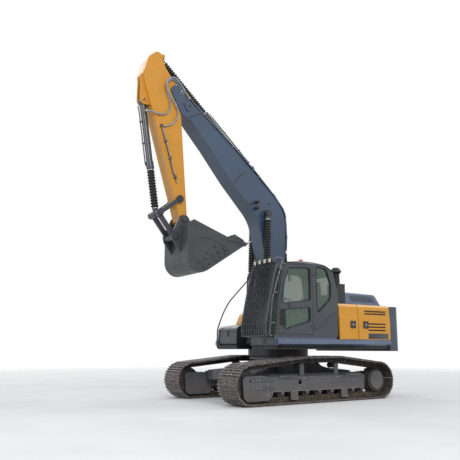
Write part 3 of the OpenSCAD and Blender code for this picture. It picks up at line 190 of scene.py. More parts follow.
def tube(path: Rows, radius: float | Array, sides: int = 12, level: Array | None = None,
         loop: bool = False) -> Shape:
    """A round section carried along a path; the radius may be one number or one for each point."""
    return swept(path, circle(radius, sides), level, loop)


def bent(points: Rows, reach: float, steps: int = 5) -> Array:
    """A path through corners, each rounded by a parabola that starts and ends at `reach` from it."""
    p = np.asarray(points, float)
    a, b, c = p[:-2], p[1:-1], p[2:]
    k = np.linspace(0, 1, steps + 1)[None, :, None]
    start, end = (b + reach * unit(a - b))[:, None], (b + reach * unit(c - b))[:, None]
    arcs = (1 - k) ** 2 * start + 2 * k * (1 - k) * b[:, None] + k * k * end
    return np.concatenate([p[:1], arcs.reshape(-1, p.shape[1]), p[-1:]])


def spline(points: Rows, steps: int) -> Array:
    """A smooth path through points.

    Each span is a cubic whose slope at a point is half the step between the point's neighbours.
    """
    p = np.asarray(points, float)
    p0, p1, p2, p3 = np.concatenate([p[:1], p[:-2]]), p[:-1], p[1:], np.concatenate([p[2:], p[-1:]])
    t = (np.arange(steps) / steps)[None, :, None]
    p0, p1, p2, p3 = (q[:, None] for q in (p0, p1, p2, p3))
    bend, twist = 2 * p0 - 5 * p1 + 4 * p2 - p3, 3 * p1 - p0 - 3 * p2 + p3
    body = 0.5 * (2 * p1 + (p2 - p0) * t + bend * t**2 + twist * t**3)
    return np.concatenate([body.reshape(-1, p.shape[1]), p[-1:]])


def distances(path: Array) -> Array:
    """Distance of each point of a path from its start, measured along it."""
    return np.concatenate([[0], np.linalg.norm(np.diff(path, axis=0), axis=1).cumsum()])


def outline(rows: Rows, steps: int = 6) -> Array:
    """A closed outline with rounded corners.

    Each corner is an arc between the two points at which a circle of its radius touches both sides.

    Args:
        rows: corners, anticlockwise, as (along, up, corner radius).
        steps: flats in each arc.
    """
    t = np.asarray(rows, float)
    b, r = t[:, :2], t[:, 2:]
    u, v = unit(np.roll(b, 1, 0) - b), unit(np.roll(b, -1, 0) - b)
    half = np.arccos(np.clip((u * v).sum(1, keepdims=True), -1, 1)) / 2
    m = b + unit(u + v) * r / np.sin(half)
    p, q = b + u * r / np.tan(half) - m, b + v * r / np.tan(half) - m
    a0, a1 = np.arctan2(p[:, 1], p[:, 0]), np.arctan2(q[:, 1], q[:, 0])
    turn = (a1 - a0 + 3 * np.pi) % (2 * np.pi) - np.pi
    a = a0[:, None] + turn[:, None] * np.linspace(0, 1, steps + 1)
    points = (m[:, None] + r[:, None] * np.stack([np.cos(a), np.sin(a)], -1)).reshape(-1, 2)
    return points[np.linalg.norm(points - np.roll(points, 1, 0), axis=1) > 1e-6]


def inset(shape: Array, d: float) -> Array:
    """An anticlockwise outline moved inwards by d.

    Each corner goes along the bisector of its two sides' normals.
    """
    ahead = unit(np.roll(shape, -1, 0) - shape)
    n1 = np.stack([-ahead[:, 1], ahead[:, 0]], 1)
    m = unit(np.roll(n1, 1, 0) + n1)
    return shape + m * (d / np.maximum((m * n1).sum(1, keepdims=True), 0.3))


def prism(side_view: Array, y0: float, y1: float, edge: float = 3.0, steps: int = 2) -> Shape:
    """A plate between y0 and y1 whose rim is rounded by quarter circles.

    Args:
        side_view: anticlockwise outline in X and Z.
        y0: lower face.
        y1: upper face.
        edge: radius of the rim's rounding.
        steps: flats in the rounding.
    """
    a = np.linspace(0, np.pi / 2, steps + 1) if edge else np.array([np.pi / 2])
    into, rise = edge * (1 - np.sin(a)), edge * (1 - np.cos(a)) if edge else np.zeros(1)
    depth = np.concatenate([into, into[::-1]])
    ys = np.concatenate([y0 + rise, y1 - rise[::-1]])
    return surface(np.stack([upright(inset(side_view, d), y) for d, y in zip(depth, ys)]))


def slab(x: Sequence[float], y: Sequence[float], z: Sequence[float], edge: float = 3.0) -> Shape:
    """A box between two values of X, Y and Z with rounded edges."""
    side_view = [[x[0], z[0], edge], [x[1], z[0], edge], [x[1], z[1], edge], [x[0], z[1], edge]]
    return prism(outline(side_view, 2), y[0], y[1], edge)


def revolved(profile: Rows, at: Sequence[float], axis: Array, sides: int = 32, hollow: bool = False) -> Shape:
    """A profile turned round an axis.

    Args:
        profile: rows of (along the axis, radius).
        at: point from which the profile's first column is measured.
        axis: direction of the axis.
        sides: flats in a turn.
        hollow: a ring whose last row joins its first; otherwise both ends are closed by discs.
    """
    p, w = np.asarray(profile, float), unit(np.asarray(axis, float))
    u = unit(np.cross(w, UPWARDS if abs(w[2]) < 0.9 else FORWARD))
    ring = circle(p[:, 1], sides)
    middles = np.asarray(at, float) + p[:, 0][:, None, None] * w
    return surface(middles + ring[..., :1] * u + ring[..., 1:] * np.cross(w, u), hollow)


def pin(x: float, z: float, radius: float, y0: float, y1: float, edge: float = 3.0, sides: int = 32) -> Shape:
    """A round bar across the machine with chamfered ends."""
    rows = [[y0, radius - edge], [y0 + edge, radius], [y1 - edge, radius], [y1, radius - edge]]
    return revolved(rows, (x, 0, z), ACROSS, sides)


def bolts(places: Rows, axis: Array, radius: float, height: float) -> Shape:
    """Hexagonal bolt heads with a washer, standing on points and facing along an axis."""
    washer = [[-1, radius * 1.35], [height * 0.16, radius * 1.35]]
    rows = [*washer, [height * 0.16, radius], [height * 0.8, radius], [height, radius * 0.8]]
    return revolved(rows, (0, 0, 0), axis, 6).repeated(np.asarray(places, float))


def ring_places(x: float, y: float, z: float, radius: float, count: int, start: float = 0.0) -> Array:
    """Points on a circle in the side view."""
    a = math.radians(start) + np.arange(count) * 2 * np.pi / count
    return np.stack([x + radius * np.cos(a), np.full(count, y), z + radius * np.sin(a)], 1)


def upright(rows: Rows, y: float) -> Array:
    """Points of the side view at one value of y."""
    r = np.asarray(rows, float)
    return np.stack([r[:, 0], np.full(len(r), y), r[:, 1]], 1)


def flat_bar(half_w: float, half_h: float, edge: float = 2.0, steps: int = 2) -> Array:
    """Section of a flat bar with rounded corners."""
    w, h = half_w, half_h
    return outline([[-w, -h, edge], [w, -h, edge], [w, h, edge], [-w, h, edge]], steps)


def stepped(rings: Rows, y: float, z: float, corner: float) -> Shape:
    """A block along X through rounded rectangles.

    Args:
        rings: rows of (x, half width, half height).
        y: middle across the machine.
        z: middle height.
        corner: radius of the rectangles' corners.
    """
    loops = [(float(x), flat_bar(w, h, corner, 3)) for x, w, h in rings]
    return surface(np.stack([np.stack([np.full(len(p), x), y + p[:, 0], z + p[:, 1]], 1) for x, p in loops]))


@dataclass(frozen=True)
class Line:
    """A straight line in the side view with axes of its own.

    They run along the line, across the machine, and square to both.
    """

    x: float
    z: float
    degrees: float

    def points(self, local: Rows | Sequence[float]) -> Array:
        """Points given in the line's axes, in the row frame."""
        c, s = math.cos(math.radians(self.degrees)), math.sin(math.radians(self.degrees))
        x, y, z = np.moveaxis(np.asarray(local, float), -1, 0)
        return np.stack([self.x + x * c - z * s, y, self.z + x * s + z * c], -1)

    def direction(self, local: Sequence[float]) -> Array:
        """A direction given in the line's axes, in the row frame."""
        return self.points(local) - self.points([0.0, 0.0, 0.0])

    def put(self, *shapes: Shape) -> Shape:
        """Shapes made in the line's axes, joined and put in their place."""
        s = joined(shapes)
        return Shape(self.points(s.verts), s.quads, s.caps)

    def at(self, along: float, up: float) -> tuple[float, float]:
        """X and Z of a point of the line's axes."""
        p = self.points(np.array([along, 0.0, up]))
        return float(p[0]), float(p[2])


def line_between(a: tuple[float, float], b: tuple[float, float]) -> tuple[Line, float]:
    """The line from one point of the side view to another, and the distance between them."""
    x, z = b[0] - a[0], b[1] - a[1]
    return Line(*a, math.degrees(math.atan2(z, x))), math.hypot(x, z)


# Finishes


def rgba(colour: Sequence[float], factor: float = 1.0) -> tuple[float, float, float, float]:
    """A screen colour as the linear colour that a shader takes."""
    c = np.clip(np.asarray(colour[:3], float) * factor, 0, 1)
    r, g, b = np.where(c <= 0.04045, c / 12.92, ((c + 0.055) / 1.055) ** 2.4)
    return float(r), float(g), float(b), 1.0


class Graph:
    """The node tree of one material."""

    def __init__(self, name: str) -> None:
        """Makes an empty tree."""
        self.material = bpy.data.materials.new(name)
        self.material.use_nodes = True
        self.tree = self.material.node_tree
        self.tree.nodes.clear()

    def node(self, kind: str, inputs: dict | None = None, **settings: object) -> bpy.types.Node:
        """Adds a node. Each input is a value or the socket that feeds it."""
        n = self.tree.nodes.new(kind)
        for key, value in settings.items():
            setattr(n, key, value)
        for key, value in (inputs or {}).items():
            if isinstance(value, Socket):
                self.tree.links.new(value, n.inputs[key])
            else:
                n.inputs[key].default_value = value
        return n

    def place(self) -> Socket:
        """Object coordinates."""
        return self.node("ShaderNodeTexCoord").outputs["Object"]

    def noise(self, scale: float, detail: float = 4.0, place: Socket | None = None) -> Socket:
        """Cloudy pattern from 0 to 1, with `scale` patches in a metre."""
        inputs = {"Vector": place or self.place(), "Scale": scale, "Detail": detail}
        return self.node("ShaderNodeTexNoise", inputs).outputs["Fac"]

    def spread(self, value: Socket, a: float, b: float, to_a: float = 0.0, to_b: float = 1.0) -> Socket:
        """Maps a to to_a and b to to_b, and holds the value beyond them."""
        rows = {"Value": value, "From Min": a, "From Max": b, "To Min": to_a, "To Max": to_b}
        return self.node("ShaderNodeMapRange", rows).outputs["Result"]

    def maths(self, operation: str, a: object, b: object = 0.0) -> Socket:
        """One step of arithmetic."""
        return self.node("ShaderNodeMath", {0: a, 1: b}, operation=operation).outputs[0]

    def mix(self, share: object, a: object, b: object) -> Socket:
        """Colour b over colour a by a share."""
        return self.node("ShaderNodeMix", {0: share, 6: a, 7: b}, data_type="RGBA").outputs[2]

    def finish(self, shader: bpy.types.Node) -> bpy.types.Material:
        """Ends the tree with a shader."""
        self.node("ShaderNodeOutputMaterial", {"Surface": shader.outputs[0]})
        return self.material


DUST = (0.66, 0.60, 0.52)


@dataclass(frozen=True)
class Finish:
    """A solid finish: patches of tone, lighter edges (bare metal, and painted highlights on the paints), dust
    that thickens near the ground, and a fine relief.

    Attributes:
        colour: screen colour.
        roughness: mean roughness.
        metallic: share of bare metal.
        shade: tone of the darkest patches against the colour.
        patch: size of a patch in metres.
        relief: height of the fine relief in metres.
        grain: size of the relief's grains in metres.
        wear_and_highlight: share of the edges that take the edge colour.
        worn: colour of those edges: bare metal on the metal finishes, and on the paints a lighter tint of the
            paint, a painted highlight.
        dust: share of the surface that dust covers at the ground.
        dust_top: height in metres at which the dust ends.
        coat: clear coat.
        edge: radius of the softened edges in metres.
    """

    name: str
    colour: tuple[float, float, float]
    roughness: float = 0.4
    metallic: float = 0.0
    shade: float = 0.88
    patch: float = 0.7
    relief: float = 0.0003
    grain: float = 0.006
    wear_and_highlight: float = 0.0
    worn: tuple[float, float, float] = (0.62, 0.60, 0.57)
    dust: float = 0.0
    dust_top: float = 1.5
    coat: float = 0.0
    edge: float = 0.004

    def bands(self, g: Graph, height: Socket) -> Socket:
        """Height of the relief; finishes with ribs, threads or lugs change it."""
        return height

    def material(self) -> bpy.types.Material:
        """Builds the node tree."""
        g = Graph(self.name)
        broad = g.spread(g.noise(1 / self.patch, 5.0), 0.32, 0.68)
        colour = g.mix(broad, rgba(self.colour, self.shade), rgba(self.colour))
        specks = g.spread(g.noise(14.0, 8.0), 0.5, 0.72, 0.0, 0.25)
        colour = g.mix(specks, colour, rgba(self.colour, 1.12))
        rough = g.spread(g.noise(4.0, 6.0), 0.3, 0.7, self.roughness * 0.82, min(1.0, self.roughness * 1.25))
        soft = g.node("ShaderNodeBevel", {"Radius": self.edge},
                      samples=4).outputs["Normal"] if self.edge else None
        # Edges found from the bevel's bend take the edge colour in patches: bare metal on the metal finishes,
        # and on the paints a lighter tint that is a painted highlight along the edges.
        if self.wear_and_highlight and soft:
            flat = g.node("ShaderNodeNewGeometry").outputs["Normal"]
            bend = g.node("ShaderNodeVectorMath", {0: soft, 1: flat},
                          operation="DOT_PRODUCT").outputs["Value"]
            patchy = (g.spread(bend, 0.99, 0.9), g.spread(g.noise(22.0, 5.0), 0.42, 0.6, 0.0, self.wear_and_highlight))
            scuffed_and_lit_edges = g.maths("MULTIPLY", *patchy)
            colour = g.mix(scuffed_and_lit_edges, colour, rgba(self.worn))
        if self.dust:
            z = g.node("ShaderNodeSeparateXYZ", {0: g.place()}).outputs["Z"]
            low = g.spread(z, self.dust_top, 0.05)
            settled = g.maths("MULTIPLY", low, g.spread(g.noise(7.0, 8.0), 0.36, 0.66, 0.15, self.dust))
            colour = g.mix(settled, colour, rgba(DUST))
            rough = g.maths("ADD", rough, g.maths("MULTIPLY", settled, 0.35))
        height = self.bands(g, g.noise(1 / self.grain, 3.0))
        relief = {"Strength": 1.0, "Distance": self.relief, "Height": height}
        if soft:
            relief["Normal"] = soft
        bump = g.node("ShaderNodeBump", relief).outputs["Normal"]
        return g.finish(g.node("ShaderNodeBsdfPrincipled", {
            "Base Color": colour, "Metallic": self.metallic, "Roughness": rough, "Normal": bump,
            "Coat Weight": self.coat, "Coat Roughness": 0.12}))


@dataclass(frozen=True)
class Braid(Finish):
    """A hose whose cover is wound with fine bands, read from the piece's own distance along it."""

    band: float = 0.009

    def bands(self, g: Graph, height: Socket) -> Socket:
        """Sine waves along the hose added to the grain."""
        run = g.node("ShaderNodeAttribute", attribute_name="run").outputs["Fac"]
        wave = g.maths("SINE", g.maths("MULTIPLY", run, 2 * math.pi / self.band))
        return g.maths("ADD", height, g.maths("MULTIPLY", wave, 1.5))


@dataclass(frozen=True)
class Weave(Finish):
    """Woven cloth: crossing threads."""

    thread: float = 0.004

    def bands(self, g: Graph, height: Socket) -> Socket:
        """The product of sine waves in two directions added to the grain."""
        xyz = g.node("ShaderNodeSeparateXYZ", {0: g.place()})
        waves = [g.maths("SINE", g.maths("MULTIPLY", xyz.outputs[k],
                                         2 * math.pi / self.thread)) for k in ("Y", "Z")]
        return g.maths("ADD", height, g.maths("MULTIPLY", waves[0], waves[1]))


@dataclass(frozen=True)
class Tread(Finish):
    """Plate with small raised studs, as on steps."""

    stud: float = 0.035

    def bands(self, g: Graph, height: Socket) -> Socket:
        """Round studs on a grid added to the grain."""
        xyz = g.node("ShaderNodeSeparateXYZ", {0: g.place()})
        waves = [g.maths("SINE", g.maths("MULTIPLY", xyz.outputs[k], 2 * math.pi / self.stud)) for k in ("X",
                                                                                                         "Y")]
        studs = g.spread(g.maths("MULTIPLY", waves[0], waves[1]), 0.3, 0.6, 0.0, 6.0)
        return g.maths("ADD", height, studs)


@dataclass(frozen=True)
class Pane:
    """Tinted window glass, faintly streaked."""

    name: str
    colour: tuple[float, float, float]
    alpha: float

    def material(self) -> bpy.types.Material:
        """Builds the node tree: a thin glossy tint that lets the rest through."""
        g = Graph(self.name)
        colour = g.mix(g.spread(g.noise(1.7, 4.0), 0.35, 0.7), rgba(self.colour, 0.8), rgba(self.colour))
        rough = g.spread(g.noise(5.0, 5.0), 0.3, 0.7, 0.02, 0.07)
        relief = {"Strength": 1.0, "Distance": 0.0004, "Height": g.noise(2.2, 1.0)}
        bump = g.node("ShaderNodeBump", relief).outputs["Normal"]
        return g.finish(g.node("ShaderNodeBsdfPrincipled", {
            "Base Color": colour, "Roughness": rough, "Normal": bump, "Alpha": self.alpha, "Coat Weight": 1.0,
            "Coat Roughness": 0.02, "Specular IOR Level": 0.8}))


@dataclass(frozen=True)
class Lens:
    """A lamp's lens: pale moulded plastic with fine ribs."""

    name: str
    colour: tuple[float, float, float]
    rib: float = 0.012

    def material(self) -> bpy.types.Material:
        """Builds the node tree: ribs across the lens and a sharp gloss."""
        g = Graph(self.name)
        y = g.node("ShaderNodeSeparateXYZ", {0: g.place()}).outputs["Y"]
        ribs = g.maths("SINE", g.maths("MULTIPLY", y, 2 * math.pi / self.rib))
        colour = g.mix(g.spread(ribs, -1.0, 1.0), rgba(self.colour, 0.82), rgba(self.colour))
        bump = g.node("ShaderNodeBump", {"Strength": 0.6, "Distance": 0.001,
                                         "Height": ribs}).outputs["Normal"]
        rough = g.spread(g.noise(30.0), 0.3, 0.7, 0.1, 0.25)
        return g.finish(g.node("ShaderNodeBsdfPrincipled", {
            "Base Color": colour, "Roughness": rough, "Normal": bump, "Coat Weight": 0.8}))


class Look(Enum):
    """Every finish on the machine."""

    # On the yellow paints, the blue paints of boom, sill and barrel, the body's and the links' slate and the
    # guard paint, the edge colour is a lighter tint of the paint: a painted highlight along the edges. On the
    # black paint, bucket, frame, steps, shoes, chain, iron and steel it is bare metal.
    ARM = Finish("sun_yellow", (0.84, 0.575, 0.135), 0.36, shade=0.93, coat=0.2, wear_and_highlight=0.35,
                 worn=(0.97, 0.76, 0.30), patch=1.2)
    PANEL = Finish("panel_yellow", (0.87, 0.60, 0.10), 0.34, shade=0.95, coat=0.25, patch=0.9, wear_and_highlight=0.3,
                   worn=(0.97, 0.74, 0.28))
    BOOM = Finish("boom_blue", (0.235, 0.31, 0.405), 0.36, shade=0.88, coat=0.2, patch=1.4, wear_and_highlight=0.4,
                  worn=(0.42, 0.50, 0.60))
    SLATE = Finish("slate", (0.235, 0.262, 0.285), 0.36, shade=0.9, coat=0.2, patch=0.8, wear_and_highlight=0.3,
                   worn=(0.42, 0.46, 0.52))
    # Lighter copy of the body's blue slate: painted highlight on the sill and the hood, where light from
    # above brightens them.
    SILL_HIGHLIGHT = Finish("sill_blue_painted_highlight", (0.36, 0.42, 0.53), 0.3, shade=0.86, coat=0.4, patch=0.4, wear_and_highlight=0.5,
                  worn=(0.60, 0.66, 0.74))
    WEIGHT = Finish("weight_slate", (0.25, 0.295, 0.345), 0.42, shade=0.88, coat=0.2, patch=0.5, grain=0.02,
                    relief=0.0008)
    LINK = Finish("link_slate", (0.16, 0.185, 0.215), 0.4, shade=0.85, coat=0.2, patch=0.3, wear_and_highlight=0.5,
                  worn=(0.42, 0.45, 0.5))
    BARREL = Finish("barrel_blue", (0.15, 0.18, 0.225), 0.28, shade=0.85, coat=0.5, patch=0.5, wear_and_highlight=0.4,
                    worn=(0.36, 0.42, 0.5))
    BUCKET = Finish("bucket_slate", (0.225, 0.25, 0.265), 0.45, shade=0.8, coat=0.1, patch=0.35, wear_and_highlight=0.9,
                    worn=(0.55, 0.57, 0.58), grain=0.012, relief=0.0006)
    FRAME = Finish("frame_grey", (0.37, 0.37, 0.385), 0.5, shade=0.82, patch=0.35, wear_and_highlight=0.6,
                   worn=(0.62, 0.62, 0.62),
                   dust=0.22, dust_top=0.5, grain=0.012, relief=0.0005)
    FRAME_STEP = Tread("frame_step", (0.52, 0.51, 0.51), 0.5, shade=0.8, wear_and_highlight=0.8, worn=(0.75, 0.73, 0.70),
                       dust=0.4, dust_top=0.9,
                       relief=0.0008)
    SHOE = Finish("shoe_steel", (0.40, 0.38, 0.39), 0.42, metallic=0.5, shade=0.5, patch=0.12, wear_and_highlight=1.0,
                  worn=(0.86, 0.84, 0.84), dust=0.22, dust_top=1.0, grain=0.014, relief=0.0012)
    CHAIN = Finish("chain_iron", (0.235, 0.215, 0.205), 0.6, metallic=0.3, shade=0.6, patch=0.1, wear_and_highlight=0.7,
                   worn=(0.52, 0.50, 0.47), dust=0.4, dust_top=0.9, grain=0.01, relief=0.0012)
    IRON = Finish("dark_iron", (0.20, 0.20, 0.21), 0.5, metallic=0.2, shade=0.7, patch=0.2, wear_and_highlight=0.4,
                  dust=0.35, dust_top=0.8,
                  grain=0.012, relief=0.0008)
    BLACK = Finish("black_paint", (0.105, 0.115, 0.125), 0.42, shade=0.8, coat=0.15, patch=0.3, wear_and_highlight=0.4,
                   worn=(0.36, 0.38, 0.40))
    GUARD = Finish("guard_paint", (0.155, 0.175, 0.195), 0.36, shade=0.8, coat=0.25, patch=0.3, wear_and_highlight=0.5,
                   worn=(0.44, 0.48, 0.54))
    RUBBER = Finish("boot_rubber", (0.10, 0.095, 0.10), 0.62, shade=0.7, patch=0.15, dust=0.0, grain=0.008,
                    relief=0.0006, edge=0.0)
    SEAL = Finish("seal_rubber", (0.055, 0.06, 0.065), 0.55, shade=0.8, patch=0.2, edge=0.002)
    PLASTIC = Finish("black_plastic", (0.12, 0.12, 0.125), 0.55, shade=0.85, patch=0.2, grain=0.003,
                     relief=0.0004)
    PALE_PLASTIC = Finish("pale_plastic", (0.62, 0.64, 0.60), 0.5, shade=0.9, patch=0.2, grain=0.003,
                          relief=0.0003)
    RED = Finish("red_knob", (0.80, 0.13, 0.09), 0.35, shade=0.85, patch=0.05, coat=0.4)
    TUBE = Finish("grey_tube", (0.42, 0.42, 0.47), 0.26, metallic=0.5, shade=0.7, patch=0.1, coat=0.3,
                  edge=0.002)
    STEEL = Finish("bright_steel", (0.76, 0.76, 0.77), 0.28, metallic=1.0, shade=0.8, patch=0.06, wear_and_highlight=0.3,
                   worn=(0.9, 0.9, 0.9))
    BRASS = Finish("fitting_zinc", (0.74, 0.68, 0.50), 0.32, metallic=0.9, shade=0.8, patch=0.05)
    HOSE = Braid("hose_cover", (0.62, 0.66, 0.72), 0.34, metallic=0.35, shade=0.85, patch=0.15, relief=0.0009,
                 edge=0.0)
    CLOTH = Weave("seat_cloth", (0.30, 0.31, 0.32), 0.85, shade=0.8, patch=0.2, relief=0.0008, edge=0.0)
    GLASS = Pane("window_glass", (0.34, 0.47, 0.40), 0.42)
    LENS = Lens("lamp_lens", (0.93, 0.90, 0.84))
    BEACON = Lens("beacon_lens", (0.90, 0.22, 0.12))
    PLATE = Finish("blank_plate", (0.10, 0.12, 0.20), 0.35, shade=0.9, coat=0.4, patch=0.2)


# Making pieces


def build(name: str, shape: Shape | Sequence[Shape], look: Look, body: str | None,
          replaces: Sequence[str] = (),
          values: dict[str, Array] | None = None, angle: float = 32.0) -> bpy.types.Object:
    """Puts a shape into a mesh object at the origin.

    Args:
        name: the piece's name.
        shape: one shape, or several to be joined.
        look: its finish.
        body: the body it rides on; None leaves the piece on no body.
        replaces: nodes that it stands for.
        values: numbers for each vertex, by attribute name.
        angle: edges sharper than this many degrees stay sharp.

    Returns:
        The new object.
    """
    s = shape if isinstance(shape, Shape) else joined(shape)
    mesh = bpy.data.meshes.new(name)
    faces = [row for rows in (s.quads, *s.caps) for row in rows.tolist()]
    mesh.from_pydata((s.verts * METRE).tolist(), [], faces)
    mesh.polygons.foreach_set("use_smooth", np.ones(len(faces), bool))
    mesh.set_sharp_from_angle(angle=math.radians(angle))
    for key, numbers in (values or {}).items():
        mesh.attributes.new(key, "FLOAT", "POINT").data.foreach_set("value", np.asarray(numbers, np.float32))
    mesh.materials.append(material(look))
    piece = bpy.data.objects.new(name, mesh)
    bpy.context.scene.collection.objects.link(piece)
    if body:
        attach(piece, body)
    if replaces:
        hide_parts(*replaces)
    LOG.info("%s: %d vertices on %s", name, len(s.verts), body or "two bodies")
    return piece


MADE: dict[Look, bpy.types.Material] = {}


def material(look: Look) -> bpy.types.Material:
    """The material of a finish, made once."""
    if look not in MADE:
        MADE[look] = look.value.material()
    return MADE[look]


def dress(look: Look, *nodes: str) -> None:
    """Gives CAD nodes a finish."""
    for node in nodes:
        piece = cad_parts[node]
        for k in range(max(1, len(piece.material_slots))):
            if piece.material_slots:
                piece.material_slots[k].material = material(look)
            else:
                piece.data.materials.append(material(look))


def dress_part(node: str, look: Look, where: Callable[[Array], Array]) -> None:
    """Gives some faces of a dressed CAD node another finish.

    Args:
        node: the node's name.
        look: the finish.
        where: tells from the faces' middles, in millimetres, which of them get it.
    """
    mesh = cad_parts[node].data
    middles = np.empty(3 * len(mesh.polygons))
    mesh.polygons.foreach_get("center", middles)
    chosen = where(middles.reshape(-1, 3) / METRE)
    slots = np.zeros(len(mesh.polygons), np.int32)
    mesh.polygons.foreach_get("material_index", slots)
    mesh.materials.append(material(look))
    slots[chosen] = len(mesh.materials) - 1
    mesh.polygons.foreach_set("material_index", slots)


# Camera, light and floor


@dataclass
class Studio:
    """Camera at the photograph's place, a pale floor that fades into the world, and soft lamps.

    Attributes:
        place: where the camera stands, in metres.
        yaw: turn of its view from -Y towards -X, in radians.
        pitch: rise of its view, in radians.
        lens: focal length in millimetres on a sensor 36 wide.
        shift: upward shift of the frame.
        floor_half: half the floor's side in metres.
        fade: distances at which the floor starts and ends its fade.
        lamps: place, size and power of each lamp.
        middle: the point at which the lamps look.
    """

    place: tuple[float, float, float] = (8.477, 10.833, 1.145)
    yaw: float = 0.5806
    pitch: float = 0.1497
    lens: float = 44.35
    shift: float = 0.07196
    floor_half: float = 60.0
    fade: tuple[float, float] = (6.0, 24.0)
    lamps: tuple[tuple[tuple[float, float, float], float, float], ...] = (
        ((6.0, 16.0, 12.0), 9.0, 1350.0), ((17.0, 2.0, 9.0), 8.0, 650.0), ((-12.0, 3.0, 16.0), 9.0, 900.0),
        ((0.0, -14.0, 14.0), 12.0, 900.0))
    middle: tuple[float, float, float] = (0.5, 0.0, 2.0)

    def camera(self) -> None:
        """Makes the camera."""
        data = bpy.data.cameras.new("camera")
        data.lens, data.sensor_width, data.shift_y, data.clip_end = self.lens, 36.0, self.shift, 300.0
        eye = bpy.data.objects.new("camera", data)
        level = math.cos(self.pitch)
        view = Vector((-math.sin(self.yaw) * level, -math.cos(self.yaw) * level, math.sin(self.pitch)))
        eye.location = self.place
        eye.rotation_mode = "QUATERNION"
        eye.rotation_quaternion = view.to_track_quat("-Z", "Y")
        bpy.context.scene.collection.objects.link(eye)
        bpy.context.scene.camera = eye

    def seen(self, g: Graph) -> Socket:
        """1 for what the camera, a reflection or glass sees, 0 for light that falls on things."""
        path = g.node("ShaderNodeLightPath")
        seen = g.maths("MAXIMUM", path.outputs["Is Camera Ray"], path.outputs["Is Glossy Ray"])
        return g.maths("MAXIMUM", seen, path.outputs["Is Transmission Ray"])

    def world(self) -> None:
        """A white world where it is seen, and soft grey light where it only lights."""
        scene = bpy.context.scene
        scene.world = scene.world or bpy.data.worlds.new("world")
        scene.world.use_nodes = True
        tree = scene.world.node_tree
        tree.nodes.clear()
        g = Graph.__new__(Graph)
        g.tree = tree
        soft = g.node("ShaderNodeBackground", {"Color": (0.80, 0.86, 0.95, 1.0), "Strength": 0.46})
        white = g.node("ShaderNodeBackground", {"Color": (1.0, 1.0, 1.0, 1.0), "Strength": 1.0})
        mixed = g.node("ShaderNodeMixShader", {0: self.seen(g), 1: soft.outputs[0], 2: white.outputs[0]})
        g.node("ShaderNodeOutputWorld", {"Surface": mixed.outputs[0]})

    def floor(self) -> None:
        """A pale floor, brushed lightly with tone, that turns clear with the distance from the machine."""
        g = Graph("floor")
        place = g.place()
        tone = g.mix(g.spread(g.noise(0.6, 6.0, place), 0.3, 0.7), rgba((0.90, 0.90, 0.89)),
                     rgba((0.94, 0.94, 0.93)))
        far = g.node("ShaderNodeVectorMath", {0: place}, operation="LENGTH").outputs["Value"]
        matt = g.node("ShaderNodeBsdfPrincipled", {"Base Color": tone, "Roughness": 0.85,
                                                   "Specular IOR Level": 0.1})
        clear = g.node("ShaderNodeBsdfTransparent")
        mixed = g.node("ShaderNodeMixShader", {0: g.spread(far, *self.fade), 1: matt.outputs[0],
                                               2: clear.outputs[0]})
        g.finish(mixed)
        h = self.floor_half
        mesh = bpy.data.meshes.new("floor")
        mesh.from_pydata([(-h, -h, 0), (h, -h, 0), (h, h, 0), (-h, h, 0)], [], [(0, 1, 2, 3)])
        mesh.materials.append(g.material)
        floor = bpy.data.objects.new("floor", mesh)
        bpy.context.scene.collection.objects.link(floor)

    def lights(self) -> None:
        """Large square lamps that look at the middle of the machine."""
        for k, (place, size, power) in enumerate(self.lamps):
            data = bpy.data.lights.new(f"lamp_{k}", "AREA")
            data.size, data.energy = size, power
            lamp = bpy.data.objects.new(f"lamp_{k}", data)
            lamp.location = place
            lamp.rotation_mode = "QUATERNION"
            lamp.rotation_quaternion = (Vector(self.middle) - Vector(place)).to_track_quat("-Z", "Y")
            bpy.context.scene.collection.objects.link(lamp)

    def make(self) -> None:
        """Makes everything but the camera."""
        self.world()
        self.floor()
        self.lights()


# The machine's lines


FOOT = (120.0, 1886.0)
BOOM_LINE = Line(*FOOT, 60.3)
ELBOW = (2944.1, 6837.2)
ARM_LINE = Line(*ELBOW, -94.8)
BUCKET_PIN = (2699.8, 3927.4)


